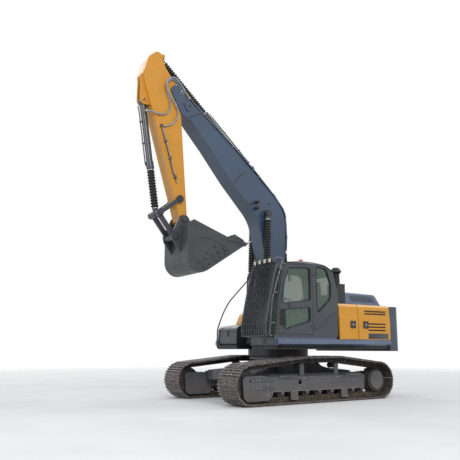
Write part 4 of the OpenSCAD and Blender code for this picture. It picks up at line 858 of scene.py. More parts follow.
@dataclass
class ElbowHoses:
    """The two free hoses over the elbow, from the boom's pipes to the arm's pipe and to the bucket cylinder.

    Attributes:
        radius: radius of both hoses.
        sides: flats round a hose.
        pin_reach: a reach from the elbow's pin in both directions; not used.
        high: points of the upper hose in the arm's axes.
        low: points of the lower hose in the arm's axes.
    """

    radius: float = 17.0
    sides: int = 14
    pin_reach: float = 190.0
    high: tuple[tuple[float, float, float], ...] = (
        (69, 120.2, -320), (-30, 135, -225), (-150, 162, -115), (-235, 190, -10), (-232, 198, 105),
                                                    (-140, 200, 200), (20, 200, 225),
        (185, 200, 190), (340, 200, 165), (480, 200, 195), (580, 200, 295), (614, 205, 420), (600, 225, 540),
                                                    (585, 226, 610),
        (570, 203, 675), (555, 160, 714), (550.5, 125, 723.5), (550.5, 93, 723.5))
    low: tuple[tuple[float, float, float], ...] = (
        (68.5, 165.4, -319.4), (-30, 187, -237), (-160, 222, -125), (-262, 240, 0), (-262, 240, 120),
                                                   (-150, 240, 232), (10, 240, 240),
        (142, 236, 168), (250, 232, 99), (340, 228, 35), (480, 220, -12), (600, 212, 0), (700, 206, 50),
                                                   (788, 202, 139),
        (840, 196, 250), (858, 192, 320), (862, 192, 370.6))

    def ferrules(self, path: Array) -> list[Shape]:
        """Crimped sleeves with a nut at both ends of a hose."""
        r, shapes = self.radius, []
        for start, ahead in ((path[0], path[1] - path[0]), (path[-1], path[-2] - path[-1])):
            rows = [[2, r + 2], [4, r + 6], [22, r + 6], [24, r + 3], [30, r + 3], [32, r + 5], [70, r + 5],
                    [72, r + 1]]
            shapes.append(revolved(rows, start, ahead, 12))
        return shapes

    def make(self) -> None:
        for k, (name, rows) in enumerate((("hose_high", self.high), ("hose_low", self.low))):
            path = ARM_LINE.points(spline(rows, 4))
            run = distances(path) * METRE
            level = ARM_LINE.direction([0.3, 0.75, -0.6]) if k == 0 else None
            hose = build(name, tube(path, self.radius, self.sides, level), Look.HOSE, None,
                         values={"run": np.repeat(run, self.sides)}, angle=60.0)
            ends = build(name + "_ends", self.ferrules(path), Look.BRASS, None)
            for piece in (hose, ends):
                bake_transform(piece)
            if k == 0:
                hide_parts("arm_hoses")


@dataclass
class Tracks:
    """Both tracks: shoes with three bars each, on a chain of links, bushes and pins.

    Attributes:
        circles: (x, z, radius) of the shoes' outer face round idler, carriers and drive, anticlockwise.
        count: shoes in one track.
        middle: distance of the track's middle from the machine's.
        half_w: half the width of a shoe.
        plate: thickness of a shoe.
        bar: height of its bars.
        chain: distance of a strand of links from the track's middle.
        chain_half: half the width of a strand.
        rail: depth of the links' inner edge below the shoes' inner face.
        pin_drop: depth of the pins there.
    """

    circles: tuple[tuple[float, float, float], ...] = ((1825, 422, 396), (390, 777, 182), (-610, 777, 182),
                                                       (-1825, 422, 396))
    count: int = 50
    middle: float = 1190.0
    half_w: float = 350.0
    plate: float = 18.0
    bar: float = 26.0
    chain: float = 76.0
    chain_half: float = 19.0
    rail: float = 122.0
    pin_drop: float = 70.0

    def belt(self) -> tuple[Array, Array]:
        """The shoes' outer line from the idler's lowest point.

        Each straight run touches two circles: its outward normal n solves n . (c2 - c1) = r1 - r2. Arcs join
        the runs.

        Returns:
            Points of the closed line, and the outward normal at each.
        """
        c = np.array(self.circles)
        d = np.roll(c[:, :2], -1, 0) - c[:, :2]
        dist = np.linalg.norm(d, axis=1, keepdims=True)
        e, k = d / dist, (c[:, 2:] - np.roll(c[:, 2:], -1, 0)) / dist
        n = e * k + np.stack([e[:, 1], -e[:, 0]], 1) * np.sqrt(1 - k * k)
        a1 = np.arctan2(n[:, 1], n[:, 0])
        a0 = np.roll(a1, 1)
        turn = (a1 - a0) % (2 * np.pi)
        a = a0[:, None] + turn[:, None] * np.linspace(0, 1, 61)
        normals = np.stack([np.cos(a), np.sin(a)], -1)
        return (c[:, None, :2] + c[:, None, 2:] * normals).reshape(-1, 2), normals.reshape(-1, 2)

    def stations(self, shift: float) -> tuple[Array, Array, float]:
        """Places of the shoes along the belt.

        Args:
            shift: share of a pitch by which all places move.

        Returns:
            Points (x, y, z), the matrices that turn a shoe's own axes (along, across, out) there, and the
            pitch.
        """
        points, normals = self.belt()
        run = distances(np.concatenate([points, points[:1]]))
        pitch = run[-1] / self.count
        s = (np.arange(self.count) + 0.5 + shift) * pitch % run[-1]
        x, z = (np.interp(s, run, np.append(points[:, k], points[0, k])) for k in (0, 1))
        nx, nz = (np.interp(s, run, np.append(normals[:, k], normals[0, k])) for k in (0, 1))
        n = unit(np.stack([nx, np.zeros_like(nx), nz], 1))
        along = np.stack([-n[:, 2], np.zeros(len(n)), n[:, 0]], 1)
        across = np.broadcast_to(ACROSS, n.shape)
        return np.stack([x, np.full(len(x), self.middle), z], 1), np.stack([along, across, n], -1), pitch

    def shoe(self, pitch: float) -> Shape:
        """One shoe: a section with three bars carried across, cut back at its ends."""
        h, t, b = pitch / 2, self.plate, self.bar
        rows = [[-h + 4, -t], [h - 8, -t], [h - 2, -t + 7], [h - 1, -6], [h - 6, 0]]
        for m in (0.33 * pitch, 0.0, -0.33 * pitch):
            rows += [[m + 13, 0], [m + 8.5, b - 2], [m + 6, b], [m - 6, b], [m - 8.5, b - 2], [m - 13, 0]]
        section = np.array(rows + [[-h + 4, 0], [-h + 1, -6]])
        ys = np.array([-1.0, -0.985, -0.985, 0.985, 0.985, 1.0]) * self.half_w
        low = np.array([0.93, 0.955, 1.0, 1.0, 0.955, 0.93])[:, None]
        height = np.array([0.55, 0.9, 1.0, 1.0, 0.9, 0.55])[:, None]
        u, n = section[:, 0] * low, np.where(section[:, 1] > 0, section[:, 1] * height, section[:, 1])
        return surface(np.stack(np.broadcast_arrays(u, ys[:, None], n), -1))

    def shoe_bolts(self, pitch: float) -> Shape:
        """Four bolt heads between the bars of a shoe, over the chain."""
        places = [[u, y, 0.0] for u in (-0.17 * pitch, 0.17 * pitch) for y in (-self.chain, self.chain)]
        return bolts(places, UPWARDS, 13, 13)

    def link(self, pitch: float) -> Shape:
        """A link of each strand with a window on each side of its web."""
        h, c, w = pitch / 2, self.chain, self.chain_half
        rows = [[-h + 6, -self.rail, 6], [h + 8, -self.rail, 6], [h + 8, -88, 8], [38, -84, 14],
                [38, -50, 14], [h - 4, -44, 8],
                [h - 4, -20, 3], [-h + 4, -20, 3], [-h + 4, -44, 8], [-38, -50, 14], [-38, -84, 14],
                [-h + 6, -88, 8]]
        plate = prism(outline(rows, 2), -w, w, 3, 1)
        return joined([plate.moved(y=c), plate.moved(y=-c)])

    def joint(self) -> Shape:
        """Eyes, pin ends and the bush at the meeting of two links."""
        c, w, z = self.chain, self.chain_half, -self.pin_drop
        rows = [[-w - 1, 33], [-w + 1, 36], [w - 1, 36], [w + 1, 33]]
        eyes = [revolved(rows, (0, y, z), ACROSS, 14) for y in (-c, c)]
        ends = [revolved([[w, 19], [w + 7, 19], [w + 9, 16]], (0, side * c, z), side * ACROSS,
                         10) for side in (-1, 1)]
        bush = revolved([[-c + w, 29], [c - w, 29]], (0, 0, z), ACROSS, 12)
        return joined([*eyes, *ends, bush])

    def make(self) -> None:
        """Builds both tracks."""
        places, turns, pitch = self.stations(0.0)
        between, between_turns, _ = self.stations(0.5)
        shoes = self.shoe(pitch).repeated(places, turns)
        heads = self.shoe_bolts(pitch).repeated(places, turns)
        links = self.link(pitch).repeated(places, turns)
        joints = self.joint().repeated(between, between_turns)
        left = (shoes, heads, links, joints)
        for side, parts in (("left", left), ("right", [p.mirrored() for p in left])):
            shoes, heads, links, joints = parts
            build(f"shoes_{side}", shoes, Look.SHOE, "undercarriage", [f"track_{side}"], angle=28)
            build(f"shoe_bolts_{side}", heads, Look.STEEL, "undercarriage")
            build(f"links_{side}", links, Look.CHAIN, "undercarriage", angle=28)
            build(f"link_joints_{side}", joints, Look.CHAIN, "undercarriage")


@dataclass
class Undercarriage:
    """Fine parts on both side frames, and the finishes of the fixed structure.

    Attributes:
        roller_xs: places of the track rollers.
        guarded: numbers of the rollers that stand behind a guard.
        roller_z: height of their axes.
        carriers: places of the carrier rollers.
        carrier_z: height of their axes.
        frame_face: outer face of the side frame.
        drive: axis of the final drive.
        idler: axis of the idler.
    """

    roller_xs: tuple[float, ...] = (1250, 956, 653, 279, -76, -435, -792, -1092, -1375)
    guarded: tuple[int, ...] = (2, 6)
    roller_z: float = 226.3
    carriers: tuple[float, ...] = (390, -610)
    carrier_z: float = 777.0
    frame_face: float = 1370.0
    drive: tuple[float, float] = (-1825, 422)
    idler: tuple[float, float] = (1825, 422)

    def bare_xs(self) -> list[float]:
        """Places of the rollers without a guard."""
        return [x for k, x in enumerate(self.roller_xs) if k not in self.guarded]

    def roller_caps(self) -> Shape:
        """Shield-shaped end brackets of the rollers: a plate with a low point, each with a round boss."""
        face = self.frame_face - 30
        cap = prism(outline([[-44, 262, 4], [-46, 205, 8], [0, 168, 14], [46, 205, 8], [44, 262, 4]], 3),
                    face, face + 24, 4)
        boss = revolved([[face + 22, 27], [face + 32, 27], [face + 36, 23]], (0, 0, self.roller_z), ACROSS,
                        20)
        return joined([cap, boss]).spaced(self.bare_xs())

    def cap_bolts(self) -> Shape:
        """Two bolts on each cap."""
        face = self.frame_face - 6
        return bolts([[x + d, face, 248] for x in self.bare_xs() for d in (-28, 28)], ACROSS, 8, 9)

    def guard_lips(self) -> Shape:
        """Turned-out lower lips and side ribs of the roller guards."""
        lip = prism(outline([[-92, 84, 6], [92, 84, 6], [92, 106, 6], [-92, 106, 6]], 3), 1374, 1398, 4)
        ribs = [slab((x0, x0 + 14), (1378, 1390), (104, 262), 3) for x0 in (-90, 76)]
        return joined([lip, *ribs]).spaced([self.roller_xs[k] for k in self.guarded])

    def frame_trim(self) -> Shape:
        """Light flanges: along the beam's lower edge, at its rear end and round the yoke's opening."""
        f = self.frame_face
        low = slab((-1400, 1215), (f - 2, f + 12), (258, 272), 3)
        rear = slab((-1424, -1408), (f - 60, f + 12), (262, 556), 4)
        seam = slab((-1400, 1190), (f - 1, f + 3), (452, 458), 1)
        edge = outline([[1262, 150, 12], [1320, 108, 30], [1925, 108, 110], [1958, 578, 80], [1500, 588, 50],
                        [1262, 548, 12]], 5)
        rim = swept(upright(edge, f + 2), flat_bar(4, 7, 2), ACROSS, True)
        hole = revolved([[f - 2, 62], [f + 5, 62], [f + 7, 59], [f + 7, 54], [f - 2, 53]], (490, 0, 446),
                        ACROSS, 40)
        return joined([low, rear, seam, rim, hole])

    def frame_bolts(self) -> Shape:
        """Bolts of the carrier posts, the steps and the idler guides."""
        f = self.frame_face
        rows = [[x + d, f, 520] for x in self.carriers for d in (-36, 36)]
        rows += [[x, f, 535] for x in (650, 1030, -1240, -860)]
        rows += [[1560 + 90 * k, f + 26, z] for z in (343, 503) for k in range(3)]
        rows += [[1330, f, z] for z in (200, 300, 400, 500)]
        return bolts(rows, ACROSS, 10, 11)

    def posts(self) -> Shape:
        """Rings round the carrier rollers' shafts with a cap."""
        ring = [[1288, 58], [1332, 58], [1336, 54], [1336, 36], [1330, 34], [1330, 20], [1338, 18]]
        return joined([revolved(ring, (x, 0, self.carrier_z), ACROSS, 32) for x in self.carriers])

    def drive_parts(self) -> Shape:
        """Stepped drum, plain cover disc and its bolts."""
        x, z = self.drive
        drum = revolved([[1213, 262], [1219, 268], [1262, 268], [1266, 256], [1300, 250], [1340, 250],
                         [1366, 240], [1371, 222]],
                        (x, 0, z), ACROSS, 56)
        return joined([drum, bolts(ring_places(x, 1262, z, 259, 20), ACROSS, 11, 14)])

    def drive_disc(self) -> Shape:
        """The light cover of the drive: a disc with a turned rim, a shallow dish and three plugs."""
        x, z = self.drive
        rows = [[1362, 208], [1400, 213], [1408, 208], [1409.5, 196], [1407, 190], [1407, 2]]
        plugs = bolts(ring_places(x, 1407, z, 120, 3, 30), ACROSS, 12, 8)
        rim = bolts(ring_places(x, 1408, z, 200, 12), ACROSS, 7, 7)
        return joined([revolved(rows, (x, 0, z), ACROSS, 56), plugs, rim])

    def idler_parts(self) -> Shape:
        """Hub caps and their bolts."""
        x, z = self.idler
        hub = revolved([[1335, 80], [1345, 78], [1352, 60], [1356, 40]], (x, 0, z), ACROSS, 36)
        return joined([hub, bolts(ring_places(x, 1348, z, 62, 6), ACROSS, 8, 8)])

    def race_bolts(self) -> Shape:
        """Ring of bolts round the swing race."""
        return bolts([[x, y, 949.0] for x, y in circle(668, 36)], UPWARDS, 12, 16)

    def make(self) -> None:
        """Builds the fine parts and dresses the nodes."""
        body, grey, dark = "undercarriage", "undercarriage_paint", "cast_dark"
        build("roller_caps", self.roller_caps().both(), Look.FRAME, body)
        build("roller_cap_bolts", joined([self.cap_bolts(), self.frame_bolts()]).both(), Look.STEEL, body)
        build("roller_guard_lips", self.guard_lips().both(), Look.FRAME_STEP, body)
        build("side_frame_trim", self.frame_trim().both(), Look.FRAME_STEP, body)
        build("carrier_rings", self.posts().both(), Look.FRAME, body)
        build("drive_drums", self.drive_parts().both(), Look.IRON, body)
        build("drive_discs", self.drive_disc().both(), Look.FRAME, body)
        build("idler_hubs", self.idler_parts().both(), Look.IRON, body)
        build("race_bolts", self.race_bolts(), Look.IRON, body)
        dress(Look.FRAME, "side_frame_left", "side_frame_right", "car_body")
        dress(Look.IRON, "swing_race_lower", "idlers", "final_drives", "track_rollers", "carrier_rollers")


@dataclass
class Cab:
    """Cab, its door, its glass, its seat, and the guard with lamps before it.

    Attributes:
        face: outer face of the cab's side.
        door: outline of the door as (x, z, corner radius).
        upper_pane: the door's upper pane, in the same way.
        lower_pane: its lower pane.
        quarter_pane: the pane behind the door.
        right_pane: the pane of the far side.
        guard: line of the guard in the side view.
        lamp_ys: where the lamps stand.
        lamp_z: height of their middles.
        seat: the point on the floor over which the seat stands.
    """

    face: float = 1340.0
    door: tuple[tuple[float, float, float], ...] = (
        (50, 1450, 30), (1040, 1450, 60), (1022, 1643, 0), (984, 2092, 0), (888, 2580, 0), (790, 2957, 90),
                                                    (50, 2993, 60))
    upper_pane: tuple[tuple[float, float, float], ...] = (
        (118, 2205, 40), (905, 2105, 70), (918, 2250, 0), (838, 2600, 0), (722, 2890, 90), (118, 2930, 60))
    lower_pane: tuple[tuple[float, float, float], ...] = (
        (133, 1740, 50), (800, 1565, 60), (985, 1660, 60), (975, 1965, 50), (133, 2050, 50))
    quarter_pane: tuple[tuple[float, float, float], ...] = (
        (-66, 1905, 40), (-66, 2975, 40), (-370, 2935, 120), (-500, 2600, 150), (-490, 2260, 150))
    right_pane: tuple[tuple[float, float, float], ...] = (
        (-520, 1950, 80), (930, 1900, 80), (860, 2400, 0), (740, 2890, 100), (-420, 2880, 160))
    guard: tuple[tuple[float, float], ...] = ((1330, 1405), (1340, 1670), (1228, 2200), (1120, 2650),
                                              (1035, 2950))
    lamp_ys: tuple[float, ...] = (560, 740, 930, 1110)
    lamp_z: float = 3050.0
    seat: tuple[float, float, float] = (60.0, 880.0, 1455.0)

    def seal(self, pane: Rows, y: float, outward: float = 1.0) -> Shape:
        """Rubber seal round a pane: a rounded band carried along the pane's outline."""
        loop = upright(outline(pane, 5), y)
        section = outline([[-9, -15, 4], [9, -15, 4], [9, 15, 5], [-9, 15, 5]], 2)
        return swept(loop, section, outward * ACROSS, True)

    def door_trim(self) -> Shape:
        """Pressed bead along the door's edge."""
        door = upright(inset(outline(self.door, 5), 16), self.face + 1)
        return swept(door, flat_bar(4, 3, 1.5), ACROSS, True)

    def joint_line(self) -> Shape:
        """Dark rubber in the joint round the door."""
        return swept(upright(inset(outline(self.door, 5), -5), self.face - 10), flat_bar(4, 8, 2), ACROSS,
                     True)

    def slats(self) -> Shape:
        """Black panel with upright slats in the front third of the lower pane."""
        xs = np.linspace(806, 962, 12)
        bar = slab((-4.5, 4.5), (1300, 1318), (1640, 1960), 2)
        frame_bars = [slab((790, 978), (1298, 1316), (1622, 1646), 3),
                      slab((790, 974), (1298, 1316), (1948, 1972), 3)]
        return joined([bar.spaced(xs), *frame_bars])

    def handle(self) -> Shape:
        """Door handle: a recessed plate with a round pull."""
        f = self.face
        plate = slab((640, 750), (f - 1, f + 16), (2035, 2095), 7)
        dish = revolved([[f + 14, 24], [f + 18, 24], [f + 20, 21], [f + 20, 14], [f + 16, 12]],
                        (692, 0, 2067), ACROSS, 28)
        grip = tube(bent([[665, f + 8, 2046], [665, f + 19, 2046], [735, f + 19, 2046], [735, f + 8, 2046]],
                         8), 5, 8)
        return joined([plate, dish, grip])

    def hinges(self) -> Shape:
        """Leaves and knuckles of the door's hinges."""
        shapes = []
        for z in (1605, 2805):
            leaf = slab((-40, 92), (self.face - 2, self.face + 7), (z - 38, z + 38), 3)
            knuckle = revolved([[z - 44, 10], [z - 42, 12.5], [z + 42, 12.5], [z + 44, 10]], (28, 1353.3, 0),
                               UPWARDS, 14)
            heads = bolts([[x, self.face + 7, z + d] for x in (-22, 62, 80) for d in (-20, 20)], ACROSS, 6, 6)
            shapes += [leaf, knuckle, heads]
        return joined(shapes)

    def pillar(self) -> Shape:
        """Tube along the guard's side on the cab's front edge, from the sill to a loop behind the lamps."""
        rows = [[1236, 1295, 1412], [1212, 1295, 1640], [1150, 1295, 2190], [1000, 1297, 2640],
                [915, 1300, 2880], [846, 1300, 3050], [900, 1290, 3098], [1030, 1240, 3090],
                [1040, 1190, 3000]]
        return tube(bent(rows, 44, 6), 17, 14)

    def pillar_gap_shade(self) -> Shape:
        """Black tube close to the cab's front edge, in the gap behind the pillar tube: painted shade of that
        gap.
        """
        rows = [[1128, 1430], [1098, 1660], [1060, 2100], [962, 2590], [850, 2960]]
        return tube(bent(upright(rows, 1322), 50, 6), 13, 12)

    def pillar_clamps(self) -> tuple[Shape, Shape]:
        """Brackets that hold the tube, and their bolts."""
        y, rows = self.face - 34, ((1188, 1680), (1092, 2330), (930, 2840))
        blocks = [slab((x - 92, x + 30), (y - 34, y + 14), (z - 22, z + 22), 6) for x, z in rows]
        foot = slab((1096, 1262), (y - 40, y + 18), (1404, 1424), 4)
        places = [[x + dx, y + 14, z + dz] for x, z in rows for dx, dz in ((-72, 0), (-34, 0), (8, 0))]
        places += [[1112, y + 18, 1414], [1206, y + 18, 1414]]
        return joined([*blocks, foot]), bolts(places, ACROSS, 8, 9)

    def waist_crease(self) -> Shape:
        """Raised crease low behind the door, and the sheet joint under it."""
        line = bent(upright([[-55, 1549], [-561, 1930], [-689, 1931]], 1343), 40)
        low = upright([[-684, 1472], [30, 1472]], self.face)
        return joined([swept(line, flat_bar(11, 8, 4), ACROSS), swept(low, flat_bar(5, 2, 1), ACROSS)])

    def roof_trim(self) -> Shape:
        """Rain gutter over the door and the ribs across the roof."""
        rows = [[840, 2975], [780, 3010], [30, 3040], [-300, 3005], [-540, 2890]]
        gutter = bent(upright(rows, self.face + 4), 40)
        ribs = [tube([[x, 560, 3072], [x, 1200, 3072]], 9, 8) for x in (-150, -60, 700)]
        return joined([swept(gutter, flat_bar(4, 9, 2), ACROSS), *ribs])

    def guard_parts(self) -> Shape:
        """Rounded tubes over the guard's flat side bars, with bolts where the level bars meet them."""
        line = np.array(self.guard, float)
        side = [tube(bent(upright(line, y), 50, 4), 23, 14) for y in (440, 1315)]
        mids = np.concatenate([line, (line[1:] + line[:-1]) / 2])
        heads = bolts(upright(mids, 1336), ACROSS, 9, 9)
        caps = [revolved([[0, 24], [6, 24], [9, 18]], (x, y, z), d, 14) for y in (440, 1315)
                for x, z, d in ((1035, 2950, np.array([-0.27, 0, 0.96])), (1330, 1405, -UPWARDS))]
        return joined([*side, heads, *caps])

    def lamps(self) -> tuple[Shape, Shape, Shape]:
        """Square housings with a rim, their lenses, and their brackets and cables."""
        boxes, glass, arms = [], [], []
        case = ((996, 30, 26), (1004, 40, 36), (1046, 54, 50), (1066, 58, 54), (1072, 56, 52), (1072, 50, 46),
                (1064, 48, 44))
        lens = ((1060, 48, 44), (1066, 48, 44), (1070, 40, 36), (1072, 20, 16))
        for y in self.lamp_ys:
            boxes.append(stepped(case, y, self.lamp_z, 12))
            glass.append(stepped(lens, y, self.lamp_z, 10))
            arms += [slab((1022, 1048), (y + d, y + d + 5), (2978, self.lamp_z + 10), 2) for d in (-62, 57)]
            cable = [[998, y, 3050], [975, y, 3050], [985, y + 20, 2985], [1024, y + 40, 2972]]
            arms.append(tube(bent(cable, 15), 4, 6))
        return joined(boxes), joined(glass), joined(arms)

    def beacon(self) -> tuple[Shape, Shape]:
        """Beacon: a ribbed dome on a dark foot."""
        at = (20, 920, 0)
        dome = revolved([[3101, 46], [3104, 50], [3150, 49], [3168, 44], [3180, 30], [3187, 10], [3188, 2]],
                        at, UPWARDS, 40)
        foot = revolved([[3075, 64], [3079, 66], [3090, 62], [3096, 54], [3106, 52]], at, UPWARDS, 40)
        ribs = [revolved([[z - 1.5, 49], [z, 51.5], [z + 1.5, 49]], at, UPWARDS, 40) for z in (3112, 3122,
                                                                                               3132, 3142)]
        return joined([dome, *ribs]), foot

    def cushion(self, size: Sequence[float], at: Sequence[float], lean: float, crown: float) -> tuple[Array,
                                                                                                      Shape]:
        """A crowned cushion: a rounded block whose faces swell in the middle and pull in between its corners.

        Each point of a unit sphere's grid is pressed towards a block by the power 0.32 of its coordinates,
        the top rises with the product of cosines of its place, and two grooves run along the top.

        Args:
            size: half sizes along X, Y and Z.
            at: middle.
            lean: turn about Y in degrees.
            crown: rise of the middle.

        Returns:
            The seam's points, and the shape.
        """
        u = np.linspace(-np.pi / 2 + 0.02, np.pi / 2 - 0.02, 25)[:, None]
        v = (np.arange(48) * 2 * np.pi / 48)[None, :]
        ball = np.stack(np.broadcast_arrays(np.cos(u) * np.cos(v), np.cos(u) * np.sin(v), np.sin(u)), -1)
        block = np.sign(ball) * np.abs(ball) ** 0.32
        rise = np.cos(block[..., 0] * np.pi / 2) * np.cos(block[..., 1] * np.pi / 2)
        p = block * np.array(size)
        p[..., 2] += crown * rise * np.sign(block[..., 2])
        p[..., 2] -= 7.0 * np.exp(-((np.abs(block[..., 1]) - 0.55) * size[1] / 9) ** 2) * (block[...,
                                                                                                 2] > 0.6)
        c, s = math.cos(math.radians(lean)), math.sin(math.radians(lean))
        turned = np.stack([p[..., 0] * c + p[..., 2] * s, p[..., 1], -p[..., 0] * s + p[..., 2] * c],
                          -1) + np.array(at)
        return turned[12], surface(turned)

    def seat_parts(self) -> None:
        """Seat: padded cushion, back and head rest on a pedestal, with piping along the seams."""
        x, y, z = self.seat
        rows = (("seat_cushion", (232, 222, 58), (x + 8, y, z + 322), 3.0, 16.0),
                ("seat_back", (58, 212, 300), (x - 312, y, z + 610), -8.0, 0.0),
                ("seat_head_rest", (36, 122, 96), (x - 372, y, z + 1012), -8.0, 0.0))
        for k, (name, size, at, lean, crown) in enumerate(rows):
            seam, shape = self.cushion(size, at, lean, crown)
            piece = build(name, shape, Look.CLOTH, "upper", ["cab_seat"] if k == 0 else (),
                          angle=80)
            piping = tube(seam, 4, 8, UPWARDS if k == 0 else FORWARD, True)
            build(name + "_piping", piping, Look.PLASTIC, "upper")
        base = [slab((x - 170, x + 170), (y - 170, y + 170), (z + 2, z + 180), 14),
                slab((x - 210, x + 210), (y - 190, y + 190), (z + 180, z + 262), 18)]
        posts = [tube([[x - 352, y + d, z + 880], [x - 372, y + d, z + 960]], 8, 8) for d in (-50, 50)]
        build("seat_base", [*base, *posts], Look.PLASTIC, "upper")

    def controls(self) -> None:
        """Consoles with arm rests, joysticks with gaiters, pedals with levers, and a blank screen."""
        x, y, z = self.seat
        dark, red = [], []
        for side in (-1, 1):
            c = y + side * 315
            console = [[x - 250, z + 2, 20], [x + 310, z + 2, 30], [x + 300, z + 420, 60],
                       [x + 150, z + 478, 40],
                       [x - 250, z + 478, 30]]
            gaiter = [[z + 470 + 14 * k, 44 - 5 * k - (5 if k % 2 else 0)] for k in range(6)]
            grip = [[z + 540, 9], [z + 600, 9], [z + 606, 17], [z + 650, 21], [z + 690, 17]]
            knob = [[z + 686, 19], [z + 692, 25], [z + 706, 24], [z + 712, 14]]
            stick, pedal = (x + 210, c, 0), y + side * 90
            dark += [
                prism(outline(console, 4), c - 58, c + 58, 12),
                slab((x - 230, x + 60), (c - 42, c + 42), (z + 478, z + 520), 18),
                revolved(gaiter, stick, UPWARDS, 20),
                revolved(grip, stick, UPWARDS, 16),
                tube([[x + 560, pedal, z + 5], [x + 660, pedal, z + 470]], 11, 10),
                slab((x + 500, x + 650), (pedal - 45, pedal + 45), (z + 4, z + 36), 8)]
            red.append(revolved(knob, stick, UPWARDS, 20))
        dark.append(slab((x + 640, x + 700), (y - 390, y - 330), (z + 4, z + 700), 8))
        dark.append(slab((x + 606, x + 658), (y - 394, y - 226), (z + 700, z + 848), 10))
        screen = slab((x + 601, x + 608), (y - 382, y - 238), (z + 712, z + 836), 3)
        build("cab_consoles", dark, Look.PLASTIC, "upper", ["cab_controls"])
        build("joystick_knobs", red, Look.RED, "upper")
        build("cab_screen", screen, Look.PLATE, "upper")

    def make(self) -> None:
        """Builds the cab's pieces and dresses its nodes."""
        f, up, black = self.face, "upper", "black_paint"
        build("quarter_seal", self.seal(self.quarter_pane, f - 8), Look.SEAL, up)
        build("right_seal", self.seal(self.right_pane, 428), Look.SEAL, up)
        seals = [self.seal(self.upper_pane, f - 8), self.seal(self.lower_pane, f - 8), self.joint_line()]
        build("door_seals", seals, Look.SEAL, "cab_door")
        build("door_bead", self.door_trim(), Look.SLATE, "cab_door")
        build("door_slats", self.slats(), Look.PLASTIC, "cab_door")
        build("door_handle", self.handle(), Look.PLASTIC, "cab_door")
        build("door_hinges", self.hinges(), Look.BLACK, "cab_door")
        build("cab_crease", self.waist_crease(), Look.SLATE, up)
        build("roof_trim", self.roof_trim(), Look.BLACK, up)
        build("pillar_tube", self.pillar(), Look.TUBE, up)
        # Black tube in the gap behind the pillar: painted shade.
        build("pillar_gap_shade", self.pillar_gap_shade(), Look.BLACK, up)
        clamps, heads = self.pillar_clamps()
        build("pillar_clamps", clamps, Look.BLACK, up)
        build("pillar_bolts", heads, Look.STEEL, up)
        build("guard_sides", self.guard_parts(), Look.GUARD, up)
        boxes, glass, arms = self.lamps()
        build("lamp_boxes", boxes, Look.BLACK, up, ["work_lamps"])
        build("lamp_lenses", glass, Look.LENS, up)
        bar = tube([[1035, 440, 2980.3], [1035, 1315, 2980.3]], 14, 12)
        build("lamp_brackets", [arms, bar], Look.BLACK, up)
        dome, foot = self.beacon()
        build("beacon_dome", dome, Look.BEACON, up, ["beacon"])
        build("beacon_foot", foot, Look.PLASTIC, up)
        self.seat_parts()
        self.controls()
        dress(Look.SLATE, "cab_shell", "cab_door")
        dress(Look.GLASS, "cab_glass", "door_glass")
        dress(Look.GUARD, "front_guard")


